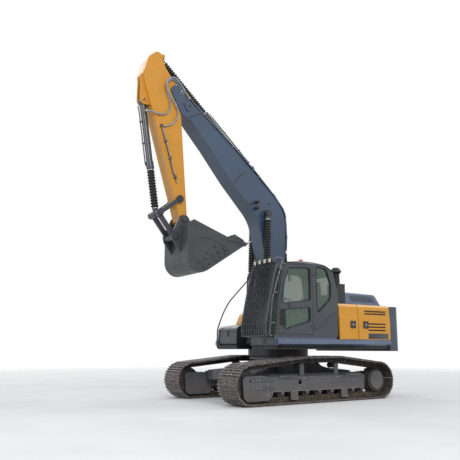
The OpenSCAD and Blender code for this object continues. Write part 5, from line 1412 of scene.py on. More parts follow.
@dataclass
class Bodywork:
    """Side doors, hood, tanks, rails and weight of the swinging upper body.

    Attributes:
        door_face: outer face of the side doors.
        louvres: rows of mouths on the rear door as (x, length, z).
        slots: mouths in a row.
        hood_top: height at which the hood's sloping side ends.
        cleaner_at: axis of the pre-cleaner.
    """

    door_face: float = 1368.0
    louvres: tuple[tuple[float, float, float], ...] = (
        (-2240, 600, 1560), (-2240, 600, 1635), (-2240, 600, 1710), (-2270, 730, 1945), (-2270, 730, 2005))
    slots: int = 9
    hood_top: float = 2490.0
    cleaner_at: tuple[float, float] = (-1060.0, 930.0)

    def louvre_shades(self) -> Shape:
        """Short black mouths of the louvres, side by side in rows, each a low block with rounded ends:
        painted shade inside the openings.
        """
        shapes = []
        for x, length, z in self.louvres:
            y, step = self.face_at(z + 13), length / self.slots
            mouth = outline([[5, z - 5, 9], [step - 17, z - 5, 9], [step - 17, z + 33, 9], [5, z + 33, 9]], 4)
            shapes.append(prism(mouth, y - 1, y + 2.5, 1.5).spaced(x + step * np.arange(self.slots)))
        return joined(shapes)

    def lips(self) -> Shape:
        """Pressed yellow brows over the louvres' mouths."""
        shapes = []
        for x, length, z in self.louvres:
            y, step = self.face_at(z + 13), length / self.slots
            one = tube([[x + 2, y - 1, z + 36], [x + step - 14, y - 1, z + 36]], 7, 8)
            shapes.append(one.spaced(step * np.arange(self.slots)))
        return joined(shapes)

    def face_at(self, z: float) -> float:
        """The doors' outer face at a height."""
        return self.door_face if z < 1850 else self.door_face - 14 - 8 * (z - 1885) / 295

    def latch(self, x: float) -> tuple[Shape, Shape]:
        """A square black latch with a dished middle, and its pale lever."""
        f, z = self.door_face, 1695
        steps = ((8, 85), (14, 85), (17, 82), (17, 68), (12.5, 64), (12.5, 20))
        case = surface(np.stack([upright(flat_bar(w, w, 10, 3) + (x, z), f + d) for d, w in steps]))
        grip = slab((x - 16, x + 22), (f + 12, f + 21), (z - 31, z + 33), 5)
        return case, joined([grip, slab((x - 44, x - 8), (f + 12, f + 18), (z - 11, z + 11), 4)])

    def door_seams(self, x0: float, x1: float) -> Shape:
        """Folded lower and side flanges of a door and the soft crease below its rounded top."""
        f = self.door_face
        low = slab((x0 + 2, x1 - 2), (f - 3, f + 3), (1357, 1369), 2)
        crease = swept([[x0 + 2, f - 8, 1868], [x1 - 2, f - 8, 1868]], flat_bar(3, 5, 1.5), UPWARDS)
        sides = [slab((x, x + 9), (f - 3, f + 3), (1357, 1848), 2) for x in (x0 + 2, x1 - 11)]
        return joined([low, crease, *sides])

    def plate(self) -> Shape:
        """A bare dark plate low on the rear door."""
        return slab((-2320, -1640), (self.door_face - 1, self.door_face + 3), (1372, 1500), 2)

    def hood_parts(self) -> Shape:
        """Raised seam round the hood's foot and a lifting bar."""
        foot = [[-2381, -556, 2190], [-1209, -556, 2190], [-1209, 1096, 2190], [-2381, 1096, 2190]]
        loop = bent([*foot, foot[0]], 20, 3)[:-1]
        grip = tube(bent([[-1216, 140, 2330], [-1196, 140, 2330], [-1196, 300, 2330], [-1216, 300, 2330]], 8),
                    9, 10)
        return joined([swept(loop, flat_bar(5, 12, 2), UPWARDS, True), grip])

    def hood_slots(self) -> Shape:
        """Black slanting mouths on the hood's sloping side, which leans in as it rises: painted shade in the
        hood's slots.
        """
        one = prism(outline([[-5, 2262, 6], [31, 2262, 6], [91, 2410, 6], [55, 2410, 6]], 3), -2, 3, 1.5)
        lean = 100 / (self.hood_top + 20 - 2180)
        one.verts[:, 1] += 1100 - (one.verts[:, 2] - 2180) * lean
        return one.spaced(66 * np.arange(12) - 2185)

    def cleaner(self) -> tuple[Shape, Shape]:
        """Pre-cleaner with a mushroom cap and the lid under it; the exhaust and the box's bolts."""
        x, y = self.cleaner_at
        cap = [[2960, 60], [2956, 118], [2963, 132], [2978, 131], [3012, 116], [3044, 92], [3066, 60],
               [3070, 6]]
        body = [[2659, 94], [2668, 94], [2676, 87], [2866, 87], [2872, 90], [2890, 90], [2898, 80],
                [2906, 60],
                [2960, 60]]
        stack = [[2180, 70], [2190, 70], [2192, 62], [2655, 62], [2660, 55], [2664, 50], [2779, 50]]
        turns = [[[c, -s, 0], [s, c, 0], [0, 0, 1]] for c, s in circle(1.0, 14)]
        vanes = slab((-2, 2), (50, 104), (2912, 2956), 1).repeated(np.tile([[x, y, 0.0]], (14, 1)),
                                                                   np.array(turns))
        bands = [revolved([[z, 88], [z + 3, 92], [z + 15, 92], [z + 18, 88]], (x, y, 0),
                          UPWARDS) for z in (2700, 2760)]
        lid = slab((-1184, -916), (766, 1104), (2628, 2664), 8)
        head = [revolved(cap, (x, y, 0), UPWARDS, 40), revolved(body, (x, y, 0), UPWARDS, 36), vanes, lid,
                *bands]
        heads = bolts([[x, 1100, z] for x in (-1165, -935) for z in (2240, 2420, 2620)], ACROSS, 8, 8)
        return joined(head), joined([revolved(stack, (-1110, 250, 0), UPWARDS), heads])

    def weight_parts(self) -> Shape:
        """Lifting plugs and bolts on top of the weight."""
        rows = [[2158, 62], [2163, 62], [2166, 56], [2166, 30], [2161, 26]]
        plugs = [revolved(rows, (-2620, side * 620, 0), UPWARDS, 28) for side in (-1, 1)]
        heads = bolts([[-2470, y, 2160] for y in (-900, -300, 300, 900)], UPWARDS, 18, 14)
        return joined([*plugs, heads])

    def sill_parts(self) -> Shape:
        """Joints across the sill's sloping face and bolts along its top, on both sides."""
        shapes = []
        rows = ((1, (-1320, -700, 430), (-2250, -1500, -1140, -880, -420, 120, 640, 980)),
                (-1, (-1320, -700), (-2250, -1500, -880, -100, 640)))
        for side, xs, heads in rows:
            one = slab((-2, 2), (1360, 1391), (1250, 1345), 1)
            one.verts[:, 1] -= (one.verts[:, 2] - 1245) * 0.285
            shape = joined([one.spaced(xs), bolts([[x, 1341, 1350] for x in heads], UPWARDS, 8, 8)])
            shapes.append(shape if side > 0 else shape.mirrored())
        return joined(shapes)

    def front_panel(self) -> tuple[Shape, Shape]:
        """Front of the box under the cab: a panel joint, bolts, and a stepped opening whose slots are dark
        bars of painted shade.
        """
        corners = [[1113, y, z] for y, z in ((450, 1236), (1290, 1236), (1290, 1392), (450, 1392))]
        rim = swept(corners, flat_bar(3, 4, 1), FORWARD, True)
        slots = joined([slab((1106, 1115), (846 + 20 * k, 1030 - 52 * (k % 2)),
                             (1250 + 36 * k, 1276 + 36 * k), 4)
                        for k in range(3)])
        heads = bolts([[1110, y, z] for y in (470, 870, 1270) for z in (1250, 1380)], FORWARD, 8, 8)
        return joined([rim, heads]), slots

    def box_parts(self) -> Shape:
        """Tool box: lid joint, two latches and a hinge line; tanks: filler caps with a rim and a strap."""
        lid = swept([[322, -1351, 1600], [836, -1351, 1600]], flat_bar(4, 5, 1.5), UPWARDS)
        front = swept([[849, -1250, 1560], [849, -560, 1560]], flat_bar(4, 5, 1.5), UPWARDS)
        latches = [slab((x - 25, x + 25), (-1362, -1350), (1575, 1635), 4) for x in (440, 740)]
        latches.append(slab((846, 858), (-940, -880), (1520, 1590), 4))
        latches.append(revolved([[846, 34], [852, 34], [855, 28], [855, 6]], (0, -900, 1470), FORWARD, 24))
        cap = revolved([[2092, 62], [2112, 62], [2118, 56], [2120, 30]], (-300, -820, 0), UPWARDS, 28)
        cap2 = revolved([[2178, 56], [2200, 56], [2206, 50], [2208, 24]], (-900, -700, 0), UPWARDS, 28)
        strap = slab((-340, -300), (-1364, -1358), (1370, 1990), 2)
        return joined([lid, front, *latches, cap, cap2, strap])

    def rail_feet(self) -> Shape:
        """Foot plates and bolts of the hand rails."""
        rows = ((-120, -600, 2097), (-900, -600, 2181), (-760, -1150, 2181))
        plates = [slab((x - 40, x + 40), (y - 32, y + 32), (z - 1, z + 7), 2) for x, y, z in rows]
        heads = bolts([[x + d, y, z + 7] for x, y, z in rows for d in (-28, 28)], UPWARDS, 7, 7)
        return joined([*plates, heads])

    def make(self) -> None:
        """Builds the bodywork's pieces and dresses its nodes."""
        up, yellow, black = "upper", "yellow_paint", "black_paint"
        # Black blocks in the louvres' mouths: painted shade.
        build("louvre_mouth_shade", self.louvre_shades(), Look.SEAL, "engine_door")
        build("louvre_brows", self.lips(), Look.PANEL, "engine_door")
        build("door_plate", self.plate(), Look.PLATE, "engine_door")
        doors = (("cooler", -1136, (-1312, -725)), ("engine", -1551, (-2396, -1328)),
                 ("pump", -1551, (-2396, -1328)))
        for name, x, span in doors:
            parts = [*self.latch(x), self.door_seams(*span)]
            case, lever, seams = [p.mirrored() for p in parts] if name == "pump" else parts
            build(f"{name}_latch", case, Look.BLACK, f"{name}_door")
            build(f"{name}_lever", lever, Look.PALE_PLASTIC, f"{name}_door")
            build(f"{name}_door_seams", seams, Look.PANEL, f"{name}_door")
        # The hood's seam in the lighter blue: painted highlight.
        build("hood_seam", self.hood_parts(), Look.SILL_HIGHLIGHT, "engine_hood")
        # Black plates in the hood's slots: painted shade.
        build("hood_slot_shade", self.hood_slots(), Look.SEAL, "engine_hood")
        cleaner, pipe = self.cleaner()
        build("pre_cleaner", cleaner, Look.PLASTIC, up)
        build("exhaust", pipe, Look.IRON, up)
        build("weight_plugs", self.weight_parts(), Look.BLACK, up)
        build("sill_parts", self.sill_parts(), Look.SLATE, up)
        panel, slots = self.front_panel()
        build("front_panel", panel, Look.SLATE, up)
        # Black bars in the stepped opening: painted shade.
        build("front_slot_shade", slots, Look.BLACK, up)
        build("box_and_tank_parts", self.box_parts(), Look.BLACK, up)
        build("rail_feet", self.rail_feet(), Look.BLACK, up)
        dress(Look.SLATE, "platform")
        # The sill's outer faces take the lighter blue: painted highlight.
        dress_part("platform", Look.SILL_HIGHLIGHT, lambda m: (np.abs(m[:, 1]) > 1300) & (m[:, 2] > 1215))
        # The platform's lower faces take dark iron: painted shade under the sill and the platform.
        dress_part("platform", Look.IRON, lambda m: (m[:, 2] < 1216) & (np.abs(m[:, 1]) < 1345))
        dress(Look.WEIGHT, "counterweight")
        dress(Look.SLATE, "deck_covers", "hydraulic_tank", "tool_box")
        # The whole hood takes the lighter blue: painted highlight of its lit top.
        dress(Look.SILL_HIGHLIGHT, "engine_hood")
        dress(Look.PANEL, "cooler_door", "engine_door", "pump_door", "fuel_tank")
        dress(Look.BLACK, "handrails", "air_cleaner", "engine_block", "cooler")


@dataclass
class BoomParts:
    """What stands on the boom: weld beads, pipe clamps, hoses, lamps, stops and pin caps.

    Attributes:
        half_w: outer face of the side plates.
        pipe_line: line of the pipes along the boom's top, in its axes.
        clamp_runs: distances of the clamps along that line.
    """

    half_w: float = 210.0
    pipe_line: tuple[tuple[float, float], ...] = (
        (1200, 990), (1700, 1290), (2250, 1465), (3196, 1190), (3400, 1120), (4090, 845), (5093, 405),
                                                  (5500, 240))
    clamp_runs: tuple[float, ...] = (420.0, 900.0, 1500.0, 2100.0, 2700.0, 3350.0, 4050.0)

    def welds(self) -> Shape:
        """Weld beads across the side plates where the boom's castings join them, dark as painted shade along
        the joints.
        """
        shapes = []
        for rows in (((5056, 4), (5045, 352)), ((3436, 842), (3311, 424)),
                     ((240, -105), (330, 340), (250, 385))):
            path = BOOM_LINE.points(upright(bent(rows, 40, 3), self.half_w))
            shapes.append(swept(path, flat_bar(16, 6, 5), ACROSS))
        return joined(shapes)

    def flanges(self) -> Shape:
        """Seams where the top and bottom plates stand a little over the side plates."""
        top = [[1137, 880], [2090, 1462], [2230, 1466], [3196, 1104], [4090, 776], [5040, 372]]
        low = [[1380, 362], [1500, 420], [2290, 632], [2420, 622], [3390, 356], [4269, 199], [5010, 34]]
        paths = [BOOM_LINE.points(upright(rows, self.half_w)) for rows in (top, low)]
        return joined([swept(p, flat_bar(7, 6, 3), ACROSS) for p in paths])

    def pipe_path(self, y: float) -> Array:
        """Middle line of the pipes at one distance from the boom's middle."""
        rows = np.array(self.pipe_line, float) + np.array([0, 22])
        return spline(upright(rows, y), 8)

    def clamps(self) -> tuple[Shape, Shape]:
        """Pads that hold the pipes on the boom's top, and their bolts."""
        path = self.pipe_path(142.5)
        run = distances(path)
        blocks, places = [], []
        for at in self.clamp_runs:
            k = int(np.searchsorted(run, at))
            ahead = unit(path[k] - path[k - 1])
            here, up = path[k], np.array([-ahead[2], 0, ahead[0]])
            for side in (1, -1):
                middle = here * np.array([1, side, 1])
                blocks.append(swept([middle + up * u for u in (-24, 24)], flat_bar(24, 52, 6), ahead))
                places += [middle + up * 24 + np.array([0, d, 0]) for d in (-26, 0, 26)]
        heads = bolts(BOOM_LINE.points(places), BOOM_LINE.direction([-0.35, 0, 0.94]), 8, 9)
        return BOOM_LINE.put(*blocks), heads

    def unions(self) -> Shape:
        """Nuts where the boom's pipes end and the hoses start."""
        path = self.pipe_path(120)
        ahead = unit(path[-1] - path[-2])
        rows = [[-70, 18], [-68, 24], [-40, 24], [-38, 21], [-30, 21], [-28, 25], [-4, 25], [-2, 20]]
        ends = [revolved(rows, (path[-1][0], y, path[-1][2]), ahead, 6) for y in (120, 165)]
        start = unit(path[1] - path[0])
        rows = [[6, 20], [8, 25], [34, 25], [36, 22], [60, 22], [62, 25], [80, 25], [82, 19]]
        foot = [revolved(rows, (path[0][0], y, path[0][2]), start, 6) for y in (120, 165, -120, -165)]
        return BOOM_LINE.put(*ends, *foot)

    def foot_hoses(self) -> Shape:
        """Hoses from the pipes' lower ends down into the deck between the boom's foot plates."""
        shapes = []
        for y in (-165, -120, 120, 165):
            rows = [[1196, y, 1012], [1090, y, 950], [960, y * 0.95, 905], [800, y * 0.9, 880],
                    [560, y * 0.85, 800]]
            shapes.append(tube(spline(rows, 8), 18, 12))
        return BOOM_LINE.put(*shapes)

    def lamps(self) -> tuple[Shape, Shape, Shape]:
        """Two round lamps with a bracket on the boom's side, and their lenses."""
        case, lens, arms = [], [], []
        for x, z, y in ((2667, 760, 305), (2540, 690, 288)):
            rows = [[-38, 20], [-34, 40], [-10, 50], [26, 57], [34, 58], [38, 56], [38, 51], [30, 49]]
            case.append(revolved(rows, (x, y, z), FORWARD, 28))
            lens.append(revolved([[28, 50], [33, 49], [37, 30], [38, 4]], (x, y, z), FORWARD, 28))
            arms.append(slab((x - 14, x + 14), (208, y - 46), (z - 24, z + 24), 4))
            arms.append(revolved([[208, 30], [212, 34], [218, 34], [220, 28]], (x, 0, z), ACROSS, 20))
        return BOOM_LINE.put(*case), BOOM_LINE.put(*lens), BOOM_LINE.put(*arms)

    def pin_caps(self) -> Shape:
        """Keeper plates and bolts on the boom's pins."""
        plates = [pin(x, 0, r, y - 4, y + 7, 3, 28) for x, r, y in ((0, 46.8, 279), (5700, 40.56, 172))]
        return BOOM_LINE.put(*plates, bolts(ring_places(0, 286, 0, 28, 4, 45), ACROSS, 8, 8))

    def stops(self) -> Shape:
        """Rubber pad near the boom's end with black slabs for the slots of a plate there, painted shade, a
        knob on its crest, and a bolt on the bend.
        """
        y = self.half_w
        pad = prism(outline([[5250, 60, 10], [5286, 52, 10], [5300, 196, 10], [5264, 204, 10]], 3), y - 2,
                    y + 20, 5)
        rows = [[878, 26], [884, 26], [886, 14], [902, 14], [904, 24], [918, 27], [930, 20], [932, 4]]
        knob = revolved(rows, (4075, 60, 0), UPWARDS, 24)
        head = bolts([[2489, y, 1122], [2685, y, 610]], ACROSS, 22, 16)
        # Black slabs for the plate's slots: painted shade.
        slots = [slab((x - 7, x + 7), (y - 2, y + 4), (132, 198), 2) for x in (5410, 5445, 5480)]
        return BOOM_LINE.put(pad, knob, head, *slots)

    def make(self) -> None:
        """Builds the boom's pieces and dresses its nodes."""
        # Dark beads: painted shade along the castings' joints.
        build("boom_welds", self.welds().both(), Look.LINK, "boom")
        build("boom_seams", self.flanges().both(), Look.BOOM, "boom")
        blocks, heads = self.clamps()
        build("pipe_clamps", blocks, Look.SLATE, "boom")
        build("pipe_clamp_bolts", heads, Look.BRASS, "boom")
        build("pipe_unions", self.unions(), Look.STEEL, "boom")
        build("foot_hoses", self.foot_hoses(), Look.BLACK, "boom")
        case, lens, arms = self.lamps()
        build("boom_lamps", case, Look.BLACK, "boom", ["boom_lamp"])
        build("boom_lamp_lenses", lens, Look.LENS, "boom")
        build("boom_lamp_arms", arms, Look.BLACK, "boom")
        build("boom_pin_caps", self.pin_caps().both(), Look.IRON, "boom")
        build("boom_stops", self.stops(), Look.BLACK, "boom")
        dress(Look.BOOM, "boom", "boom_pipes")


@dataclass(frozen=True)
class Ram:
    """Sizes of one kind of cylinder, in its own line's axes.

    Attributes:
        name: start of the pieces' names.
        bodies: bodies of the barrel and of the rod.
        line: from its base pin to its rod's pin.
        length: between the pins.
        middle_ys: where the cylinders lie across the machine.
        barrel_r: radius of the barrel.
        barrel_l: end of the barrel.
        rod_r: radius of the rod.
        boot_r: radius of the boot's folds.
        port_side: side of the ports, above (1) or below (-1).
        fold_step: length of one fold of the boot.
        fold_depth: depth of its folds.
        boot_end: distance of the boot's end from the rod's pin.
    """

    name: str
    bodies: tuple[str, str]
    line: Line
    length: float
    middle_ys: tuple[float, ...]
    barrel_r: float
    barrel_l: float
    rod_r: float
    boot_r: float
    port_side: float = 1.0
    fold_step: float = 62.0
    fold_depth: float = 24.0
    boot_end: float = 112.0

    def gland(self) -> Shape:
        """Gland nut at the barrel's end with its bolts, and the weld and cap at its foot."""
        r, end = self.barrel_r, self.barrel_l
        head = [[end - 172, r + 1], [end - 168, r + 13], [end - 120, r + 13], [end - 118, r + 10],
                [end - 112, r + 10],
                [end - 110, r + 14], [end - 24, r + 14], [end - 18, r + 9], [end - 1, r + 6],
                [end - 1, self.rod_r + 16]]
        foot = [[r * 0.92, r - 6], [r + 6, r + 3], [r + 20, r + 5], [r + 34, r + 1]]
        bands = [revolved(rows, (0, 0, 0), FORWARD, 40, True) for rows in (head, foot)]
        return joined([*bands, bolts([[end - 18, y, z] for y, z in circle(r - 2, 10)], FORWARD, 9, 10)])

    def pipes(self) -> tuple[Shape, Shape]:
        """The steel pipe along the barrel with its flanges, and the clamps that hold it."""
        r, end, s = self.barrel_r, self.barrel_l, self.port_side
        rows = [[end - 90, s * (r + 6)], [end - 90, s * (r + 36)], [160, s * (r + 36)], [120, s * (r + 60)]]
        block = slab((end - 122, end - 58), (-26, 26), sorted((s * (r - 4), s * (r + 14))), 3)
        section = np.array([[-14, 1], [-12, 5], [12, 5], [14, 1]])
        xs = (end * 0.3, end * 0.62)
        bands = [revolved(section + (x, r), (0, 0, 0), FORWARD, 32, True) for x in xs]
        saddles = [slab((x - 16, x + 16), (-24, 24), sorted((s * (r + 2), s * (r + 56))), 5) for x in xs]
        return tube(bent(upright(rows, 0), 26, 4), 15, 12), joined([block, *bands, *saddles])

    def eyes(self, half: float, pin_r: float) -> tuple[Shape, Shape]:
        """Rims round the eye at the base and the one on the rod."""
        rims = [[half - 1, pin_r + 30], [half + 3, pin_r + 28], [half + 3, pin_r + 12], [half - 1, pin_r + 9]]
        return revolved(rims, (0, 0, 0), ACROSS), revolved(rims, (self.length, 0, 0), ACROSS)

    def boot(self) -> tuple[Array, Array]:
        """Profile of the boot as (along, radius) and the share of each ring that follows the rod.

        Between the clips it is the boot's radius less the folds' depth times a cosine to the power of 1.6.
        """
        start, end = self.barrel_l + 0.5, self.length - self.boot_end
        folds = round((end - start - 60) / self.fold_step)
        x = np.linspace(start + 30, end - 30, folds * 8 + 1)
        r = self.boot_r - self.fold_depth * np.abs(np.cos(np.linspace(0, folds * np.pi, len(x)))) ** 1.6
        x = np.concatenate([[start, start + 2, start + 26, start + 30], x, [end - 28, end - 4, end]])
        r = np.concatenate([[self.rod_r + 22, self.rod_r + 27, self.rod_r + 27, self.rod_r + 23], r,
                            [self.rod_r + 23, self.rod_r + 20, self.rod_r + 15]])
        return np.stack([x, r], 1), (x - start) / (end - start)

    def bands(self) -> tuple[Shape, Shape]:
        """Hose clips at both ends of the boot."""
        rows = np.array([[-8, 2], [-7, 5], [7, 5], [8, 2]], float)
        start, end = self.barrel_l + 14, self.length - self.boot_end - 14
        near = revolved(rows + np.array([start, self.rod_r + 25]), (0, 0, 0), FORWARD, 32, True)
        far = revolved(rows + np.array([end, self.rod_r + 19]), (0, 0, 0), FORWARD, 32, True)
        return near, far

    def spread(self, *shapes: Shape) -> Shape:
        """Shapes of one cylinder put on its line and repeated at each of its places across the machine."""
        return joined([self.line.put(*shapes).moved(0, y, 0) for y in self.middle_ys])

    def make(self, half: float, pin_r: float) -> None:
        """Builds the cylinder's pieces and its boots."""
        near, far = self.bodies
        pipe, clamps = self.pipes()
        base, rod = self.eyes(half, pin_r)
        first, last = self.bands()
        build(f"{self.name}_glands", self.spread(self.gland(), clamps), Look.BARREL, near)
        build(f"{self.name}_cylinder_pipes", self.spread(pipe), Look.BARREL, near)
        rims = self.spread(base).both() if len(self.middle_ys) > 1 else self.spread(base, base.mirrored())
        build(f"{self.name}_base_rims", rims, Look.IRON, near)
        build(f"{self.name}_rod_rims", self.spread(rod, rod.mirrored()), Look.IRON, far)
        build(f"{self.name}_clip_near", self.spread(first), Look.STEEL, near)
        build(f"{self.name}_clip_far", self.spread(last), Look.STEEL, far)
        self.make_boots()

    def make_boots(self) -> None:
        """Builds the boots."""
        profile, share = self.boot()
        sides = 40
        one = revolved(profile, (0, 0, 0), FORWARD, sides)
        node = f"{self.name}_boots" if len(self.middle_ys) > 1 else f"{self.name}_boot"
        piece = build(f"{self.name}_bellows", self.spread(one), Look.RUBBER, None, [node],
                      angle=70)
        a, b = (self.line.points([x, 0.0, 0.0]) * METRE for x in (profile[0, 0], profile[-1, 0]))
        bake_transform(piece)


@dataclass
class ArmParts:
    """What stands on the arm: raised edges, creases, weld beads, pipe clamps, and pin caps."""

    half_w: float = 170.0

    def edges(self) -> Shape:
        """Raised edges along the arm's top and bottom plates, kept clear of the elbow."""
        shapes = []
        for rows in (((2262, 205), (760, 522), (620, 553)), ((700, -90), (2790, -80), (2940, -78))):
            path = ARM_LINE.points(upright(rows, self.half_w))
            shapes.append(swept(path, flat_bar(6, 4.5, 2.5), ACROSS))
        return joined(shapes)

    def creases(self) -> Shape:
        """Weld beads across the arm's side at the boss of its lower end."""
        shapes = []
        for rows in (((2266, 204), (2200, 60), (2215, -80)), ((2800, 80), (2790, 0), (2800, -82))):
            path = ARM_LINE.points(bent(upright(rows, self.half_w), 50, 4))
            shapes.append(swept(path, flat_bar(9, 3, 2.5), ACROSS))
        return joined(shapes)

    def caps(self) -> tuple[Shape, Shape]:
        """Rings and keeper plates at the arm's pins, and their bolts."""
        ring = revolved([[168, 70], [172, 80], [175, 80], [176, 66]], ARM_LINE.points([2920, 0, 0]), ACROSS)
        ear = revolved([[100, 74], [106, 72], [108, 60], [108, 52]], ARM_LINE.points([301, 0, 740]), ACROSS)
        heads = ARM_LINE.points([[301 + 34 * c, 108, 740 + 34 * s] for c,
                                 s in ((1, 0), (-0.5, 0.87), (-0.5, -0.87))])
        return joined([ring, ear]), bolts(heads, ACROSS, 9, 9)

    def clamps(self) -> tuple[Shape, Shape]:
        """Bright straps over the arm's pipe, and its union nuts."""
        straps, places = [], []
        for x, z, turn in ((1200, 325, -12), (1570, 244, -10), (1980, 150, -25)):
            c, s = math.cos(math.radians(turn)), math.sin(math.radians(turn))
            arch = ((170, -46), (176, -34), (196, -24), (213, -12), (214, 12), (196, 24), (176, 34),
                    (170, 46))
            path = [[x - d * s, y, z + d * c] for y, d in arch]
            straps.append(swept(path, flat_bar(14, 2.5, 1), np.array([c, 0, s])))
            places += [[x - d * s, 175, z + d * c] for d in (-40, 40)]
        heads = bolts(ARM_LINE.points(places), ACROSS, 7, 8)
        rows = [[-4, 19], [-2, 24], [20, 24], [22, 21], [34, 21], [36, 26], [58, 26], [60, 18]]
        tip = revolved(rows, (2062, 192, 122), np.array([0.9, 0, -0.42]), 6)
        root = revolved([[-4, 19], [-2, 24], [24, 24], [26, 20], [60, 20]], (862, 192, 390), -UPWARDS, 6)
        return joined([ARM_LINE.put(*straps), heads]), ARM_LINE.put(tip, root)

    def make(self) -> None:
        """Builds the arm's pieces and dresses its nodes."""
        build("arm_edges", self.edges().both(), Look.ARM, "arm")
        build("arm_welds", self.creases().both(), Look.ARM, "arm")
        rings, heads = self.caps()
        build("arm_pin_rings", rings.both(), Look.ARM, "arm")
        build("arm_pin_bolts", heads.both(), Look.STEEL, "arm")
        straps, tips = self.clamps()
        build("arm_pipe_straps", straps, Look.STEEL, "arm")
        build("arm_pipe_nuts", tips, Look.BRASS, "arm")
        dress(Look.ARM, "arm")
        dress(Look.BARREL, "arm_pipe")


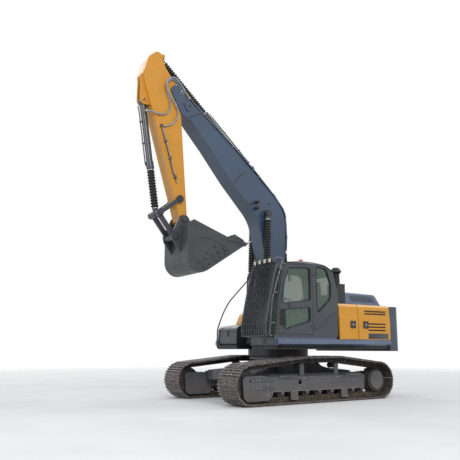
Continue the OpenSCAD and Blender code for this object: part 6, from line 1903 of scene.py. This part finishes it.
@dataclass
class BucketParts:
    """What stands on the bucket and its links: beads, wear blocks, tooth adapters, pin caps."""

    side: float = 540.0
    tooth_ys: tuple[float, ...] = (-497.5, -248.75, 0.0, 248.75, 497.5)

    def at(self, rows: Rows, y: float) -> Array:
        """Points given from the bucket's pin, in the side view at one value of y."""
        return upright(np.array(rows, float) + np.array(BUCKET_PIN), y)

    def beads(self) -> Shape:
        """Arc bead on the side plate, its seam above and the short ribs at its back."""
        arc = spline(self.at([[55, -619], [-87, -475], [-301, -405], [-602, -468], [-855, -587],
                              [-968, -673]], self.side), 8)
        line = self.at([[-369, -445], [-197, -804]], self.side)
        seam = self.at([[-812, -345], [-686, -472]], self.side)
        turn = np.radians(np.linspace(-112, 0, 12))
        rim = self.at([*zip(296 * np.cos(turn) - 225, 296 * np.sin(turn) - 870), (71, -600), (68, -300),
                       (62, -230)], self.side)
        rows = ((arc, 15, 10, 5), (line, 9, 8, 4), (seam, 9, 6, 3), (rim, 12, 9, 4))
        return joined([swept(path, flat_bar(w, h, edge), ACROSS) for path, w, h, edge in rows])

    def blocks(self) -> Shape:
        """Wear blocks welded to the side plate in two rows along the shell and two in the middle."""
        y, shapes = self.side, []
        rows = (((-225, -941), (-855, -623), 5, 52, 26), ((-333, -1049), (-883, -713), 5, 50, 24),
                ((-412, -737), (-603, -576), 2, 44, 22))
        for a, b, count, w, h in rows:
            k = np.linspace(0, 1, count)[:, None]
            places = np.array(a) * (1 - k) + np.array(b) * k
            turn = math.atan2(b[1] - a[1], b[0] - a[0])
            block = flat_bar(w, h, 8, 3)
            c, s = math.cos(turn), math.sin(turn)
            turned = np.stack([block[:, 0] * c - block[:, 1] * s, block[:, 0] * s + block[:, 1] * c], 1)
            one = prism(turned, y - 1, y + 24, 7, 3)
            shapes.append(one.repeated(self.at(places, 0.0)))
        return joined(shapes)

    def adapters(self) -> Shape:
        """Adapters over the lip that carry the teeth, with their locking pins."""
        x, z = BUCKET_PIN
        side = outline([[-1180, -420, 10], [-1330, -412, 16], [-1418, -416, 10], [-1440, -440, 6],
                        [-1418, -492, 10],
                        [-1330, -512, 16], [-1215, -500, 12]], 4)
        one = prism(side + np.array([x, z]), -52, 52, 9, 3)
        knob = revolved([[50, 18], [56, 18], [59, 12]], (x - 1412, 0, z - 455), ACROSS, 14)
        return joined([one, knob, knob.mirrored()]).spaced([0.0], self.tooth_ys)

    def lip(self) -> Shape:
        """Shrouds between the adapters and the worn edge of the lip."""
        x, z = BUCKET_PIN
        side = outline([[-1290, -440, 8], [-1396, -452, 4], [-1404, -470, 4], [-1290, -486, 8]],
                       2) + np.array([x, z])
        one = prism(side, -52, 52, 6)
        mids = [(a + b) / 2 for a, b in zip(self.tooth_ys, self.tooth_ys[1:])]
        return one.spaced([0.0], mids)

    def cutter_bolts(self) -> Shape:
        """Bolts of the side cutters."""
        rows = [[-1010, -330], [-1140, -350], [-1270, -395]]
        return bolts(self.at(rows, 560), ACROSS, 17, 14)

    def link_caps(self) -> tuple[Shape, Shape]:
        """Pin heads of the links: on the arm's pin, the joint with the rod, and the bucket's two pins."""
        joint, arm_pin = ARM_LINE.points([[2790, 0, 575], [2474, 0, 74]])
        link = np.array([BUCKET_PIN[0] + 207, 0, BUCKET_PIN[1] - 399])
        rows = [[239, 72], [246, 72], [251, 66], [251, 40], [247, 34], [247, 4]]
        links = [revolved(rows, p, ACROSS, 32) for p in (joint, arm_pin)]
        rows = [[222, 84], [229, 84], [234, 78], [234, 44], [229, 38], [229, 4]]
        bucket = [revolved(rows, p, ACROSS, 32) for p in (link, np.array([BUCKET_PIN[0], 0, BUCKET_PIN[1]]))]
        return joined(links), joined(bucket)

    def make(self) -> None:
        """Builds the pieces of bucket and links and dresses their nodes."""
        build("bucket_beads", self.beads().both(), Look.BUCKET, "bucket")
        build("bucket_wear_blocks", self.blocks().both(), Look.BUCKET, "bucket")
        build("tooth_adapters", self.adapters(), Look.BUCKET, "bucket")
        build("lip_shrouds", self.lip(), Look.BUCKET, "bucket")
        build("cutter_bolts", self.cutter_bolts().both(), Look.IRON, "bucket")
        links, caps = self.link_caps()
        build("link_pin_heads", links.both(), Look.IRON, "side_links")
        build("bucket_pin_heads", caps.both(), Look.IRON, "bucket")
        dress(Look.BUCKET, "bucket")
        dress(Look.STEEL, "bucket_teeth")
        dress(Look.LINK, "side_links", "h_link")


def rams() -> list[tuple[Ram, float, float]]:
    """The three kinds of cylinder, each with half the width of its eyes and the radius of its pins."""
    lift = line_between((600, 1300), (497.2, 4323.3))
    crowd = line_between(BOOM_LINE.at(3420, 1165), ARM_LINE.at(-760, 250))
    curl = line_between(ARM_LINE.at(301, 740), ARM_LINE.at(2790, 575))
    boom = Ram("boom", ("boom_cylinders", "boom_rods"), *lift, (-310, 310), 78, 1650, 46, 90, -1,
               boot_end=128)
    arm = Ram("arm", ("arm_cylinder", "arm_rod"), *crowd, (0,), 82, 1710, 46, 84)
    bucket = Ram("bucket", ("bucket_cylinder", "bucket_rod"), *curl, (0,), 72, 1515, 46, 88)
    return [(boom, 40.0, 60.0), (arm, 48.0, 60.0), (bucket, 60.0, 50.0)]


def main() -> None:
    """Builds the machine's visible pieces over the CAD bodies."""
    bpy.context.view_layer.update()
    bpy.context.scene.view_settings.view_transform = "Standard"
    studio = Studio()
    studio.camera()
    ElbowHoses().make()
    Tracks().make()
    Undercarriage().make()
    Cab().make()
    Bodywork().make()
    BoomParts().make()
    for ram, half, pin_r in rams():
        ram.make(half, pin_r)
    ArmParts().make()
    BucketParts().make()
    dress(Look.BARREL, "boom_cylinders", "arm_cylinder", "bucket_cylinder")
    dress(Look.LINK, "boom_rods", "arm_rod", "bucket_rod")
    studio.make()


if __name__ == "__main__":
    logging.basicConfig(level=logging.INFO, format="%(message)s")
    main()
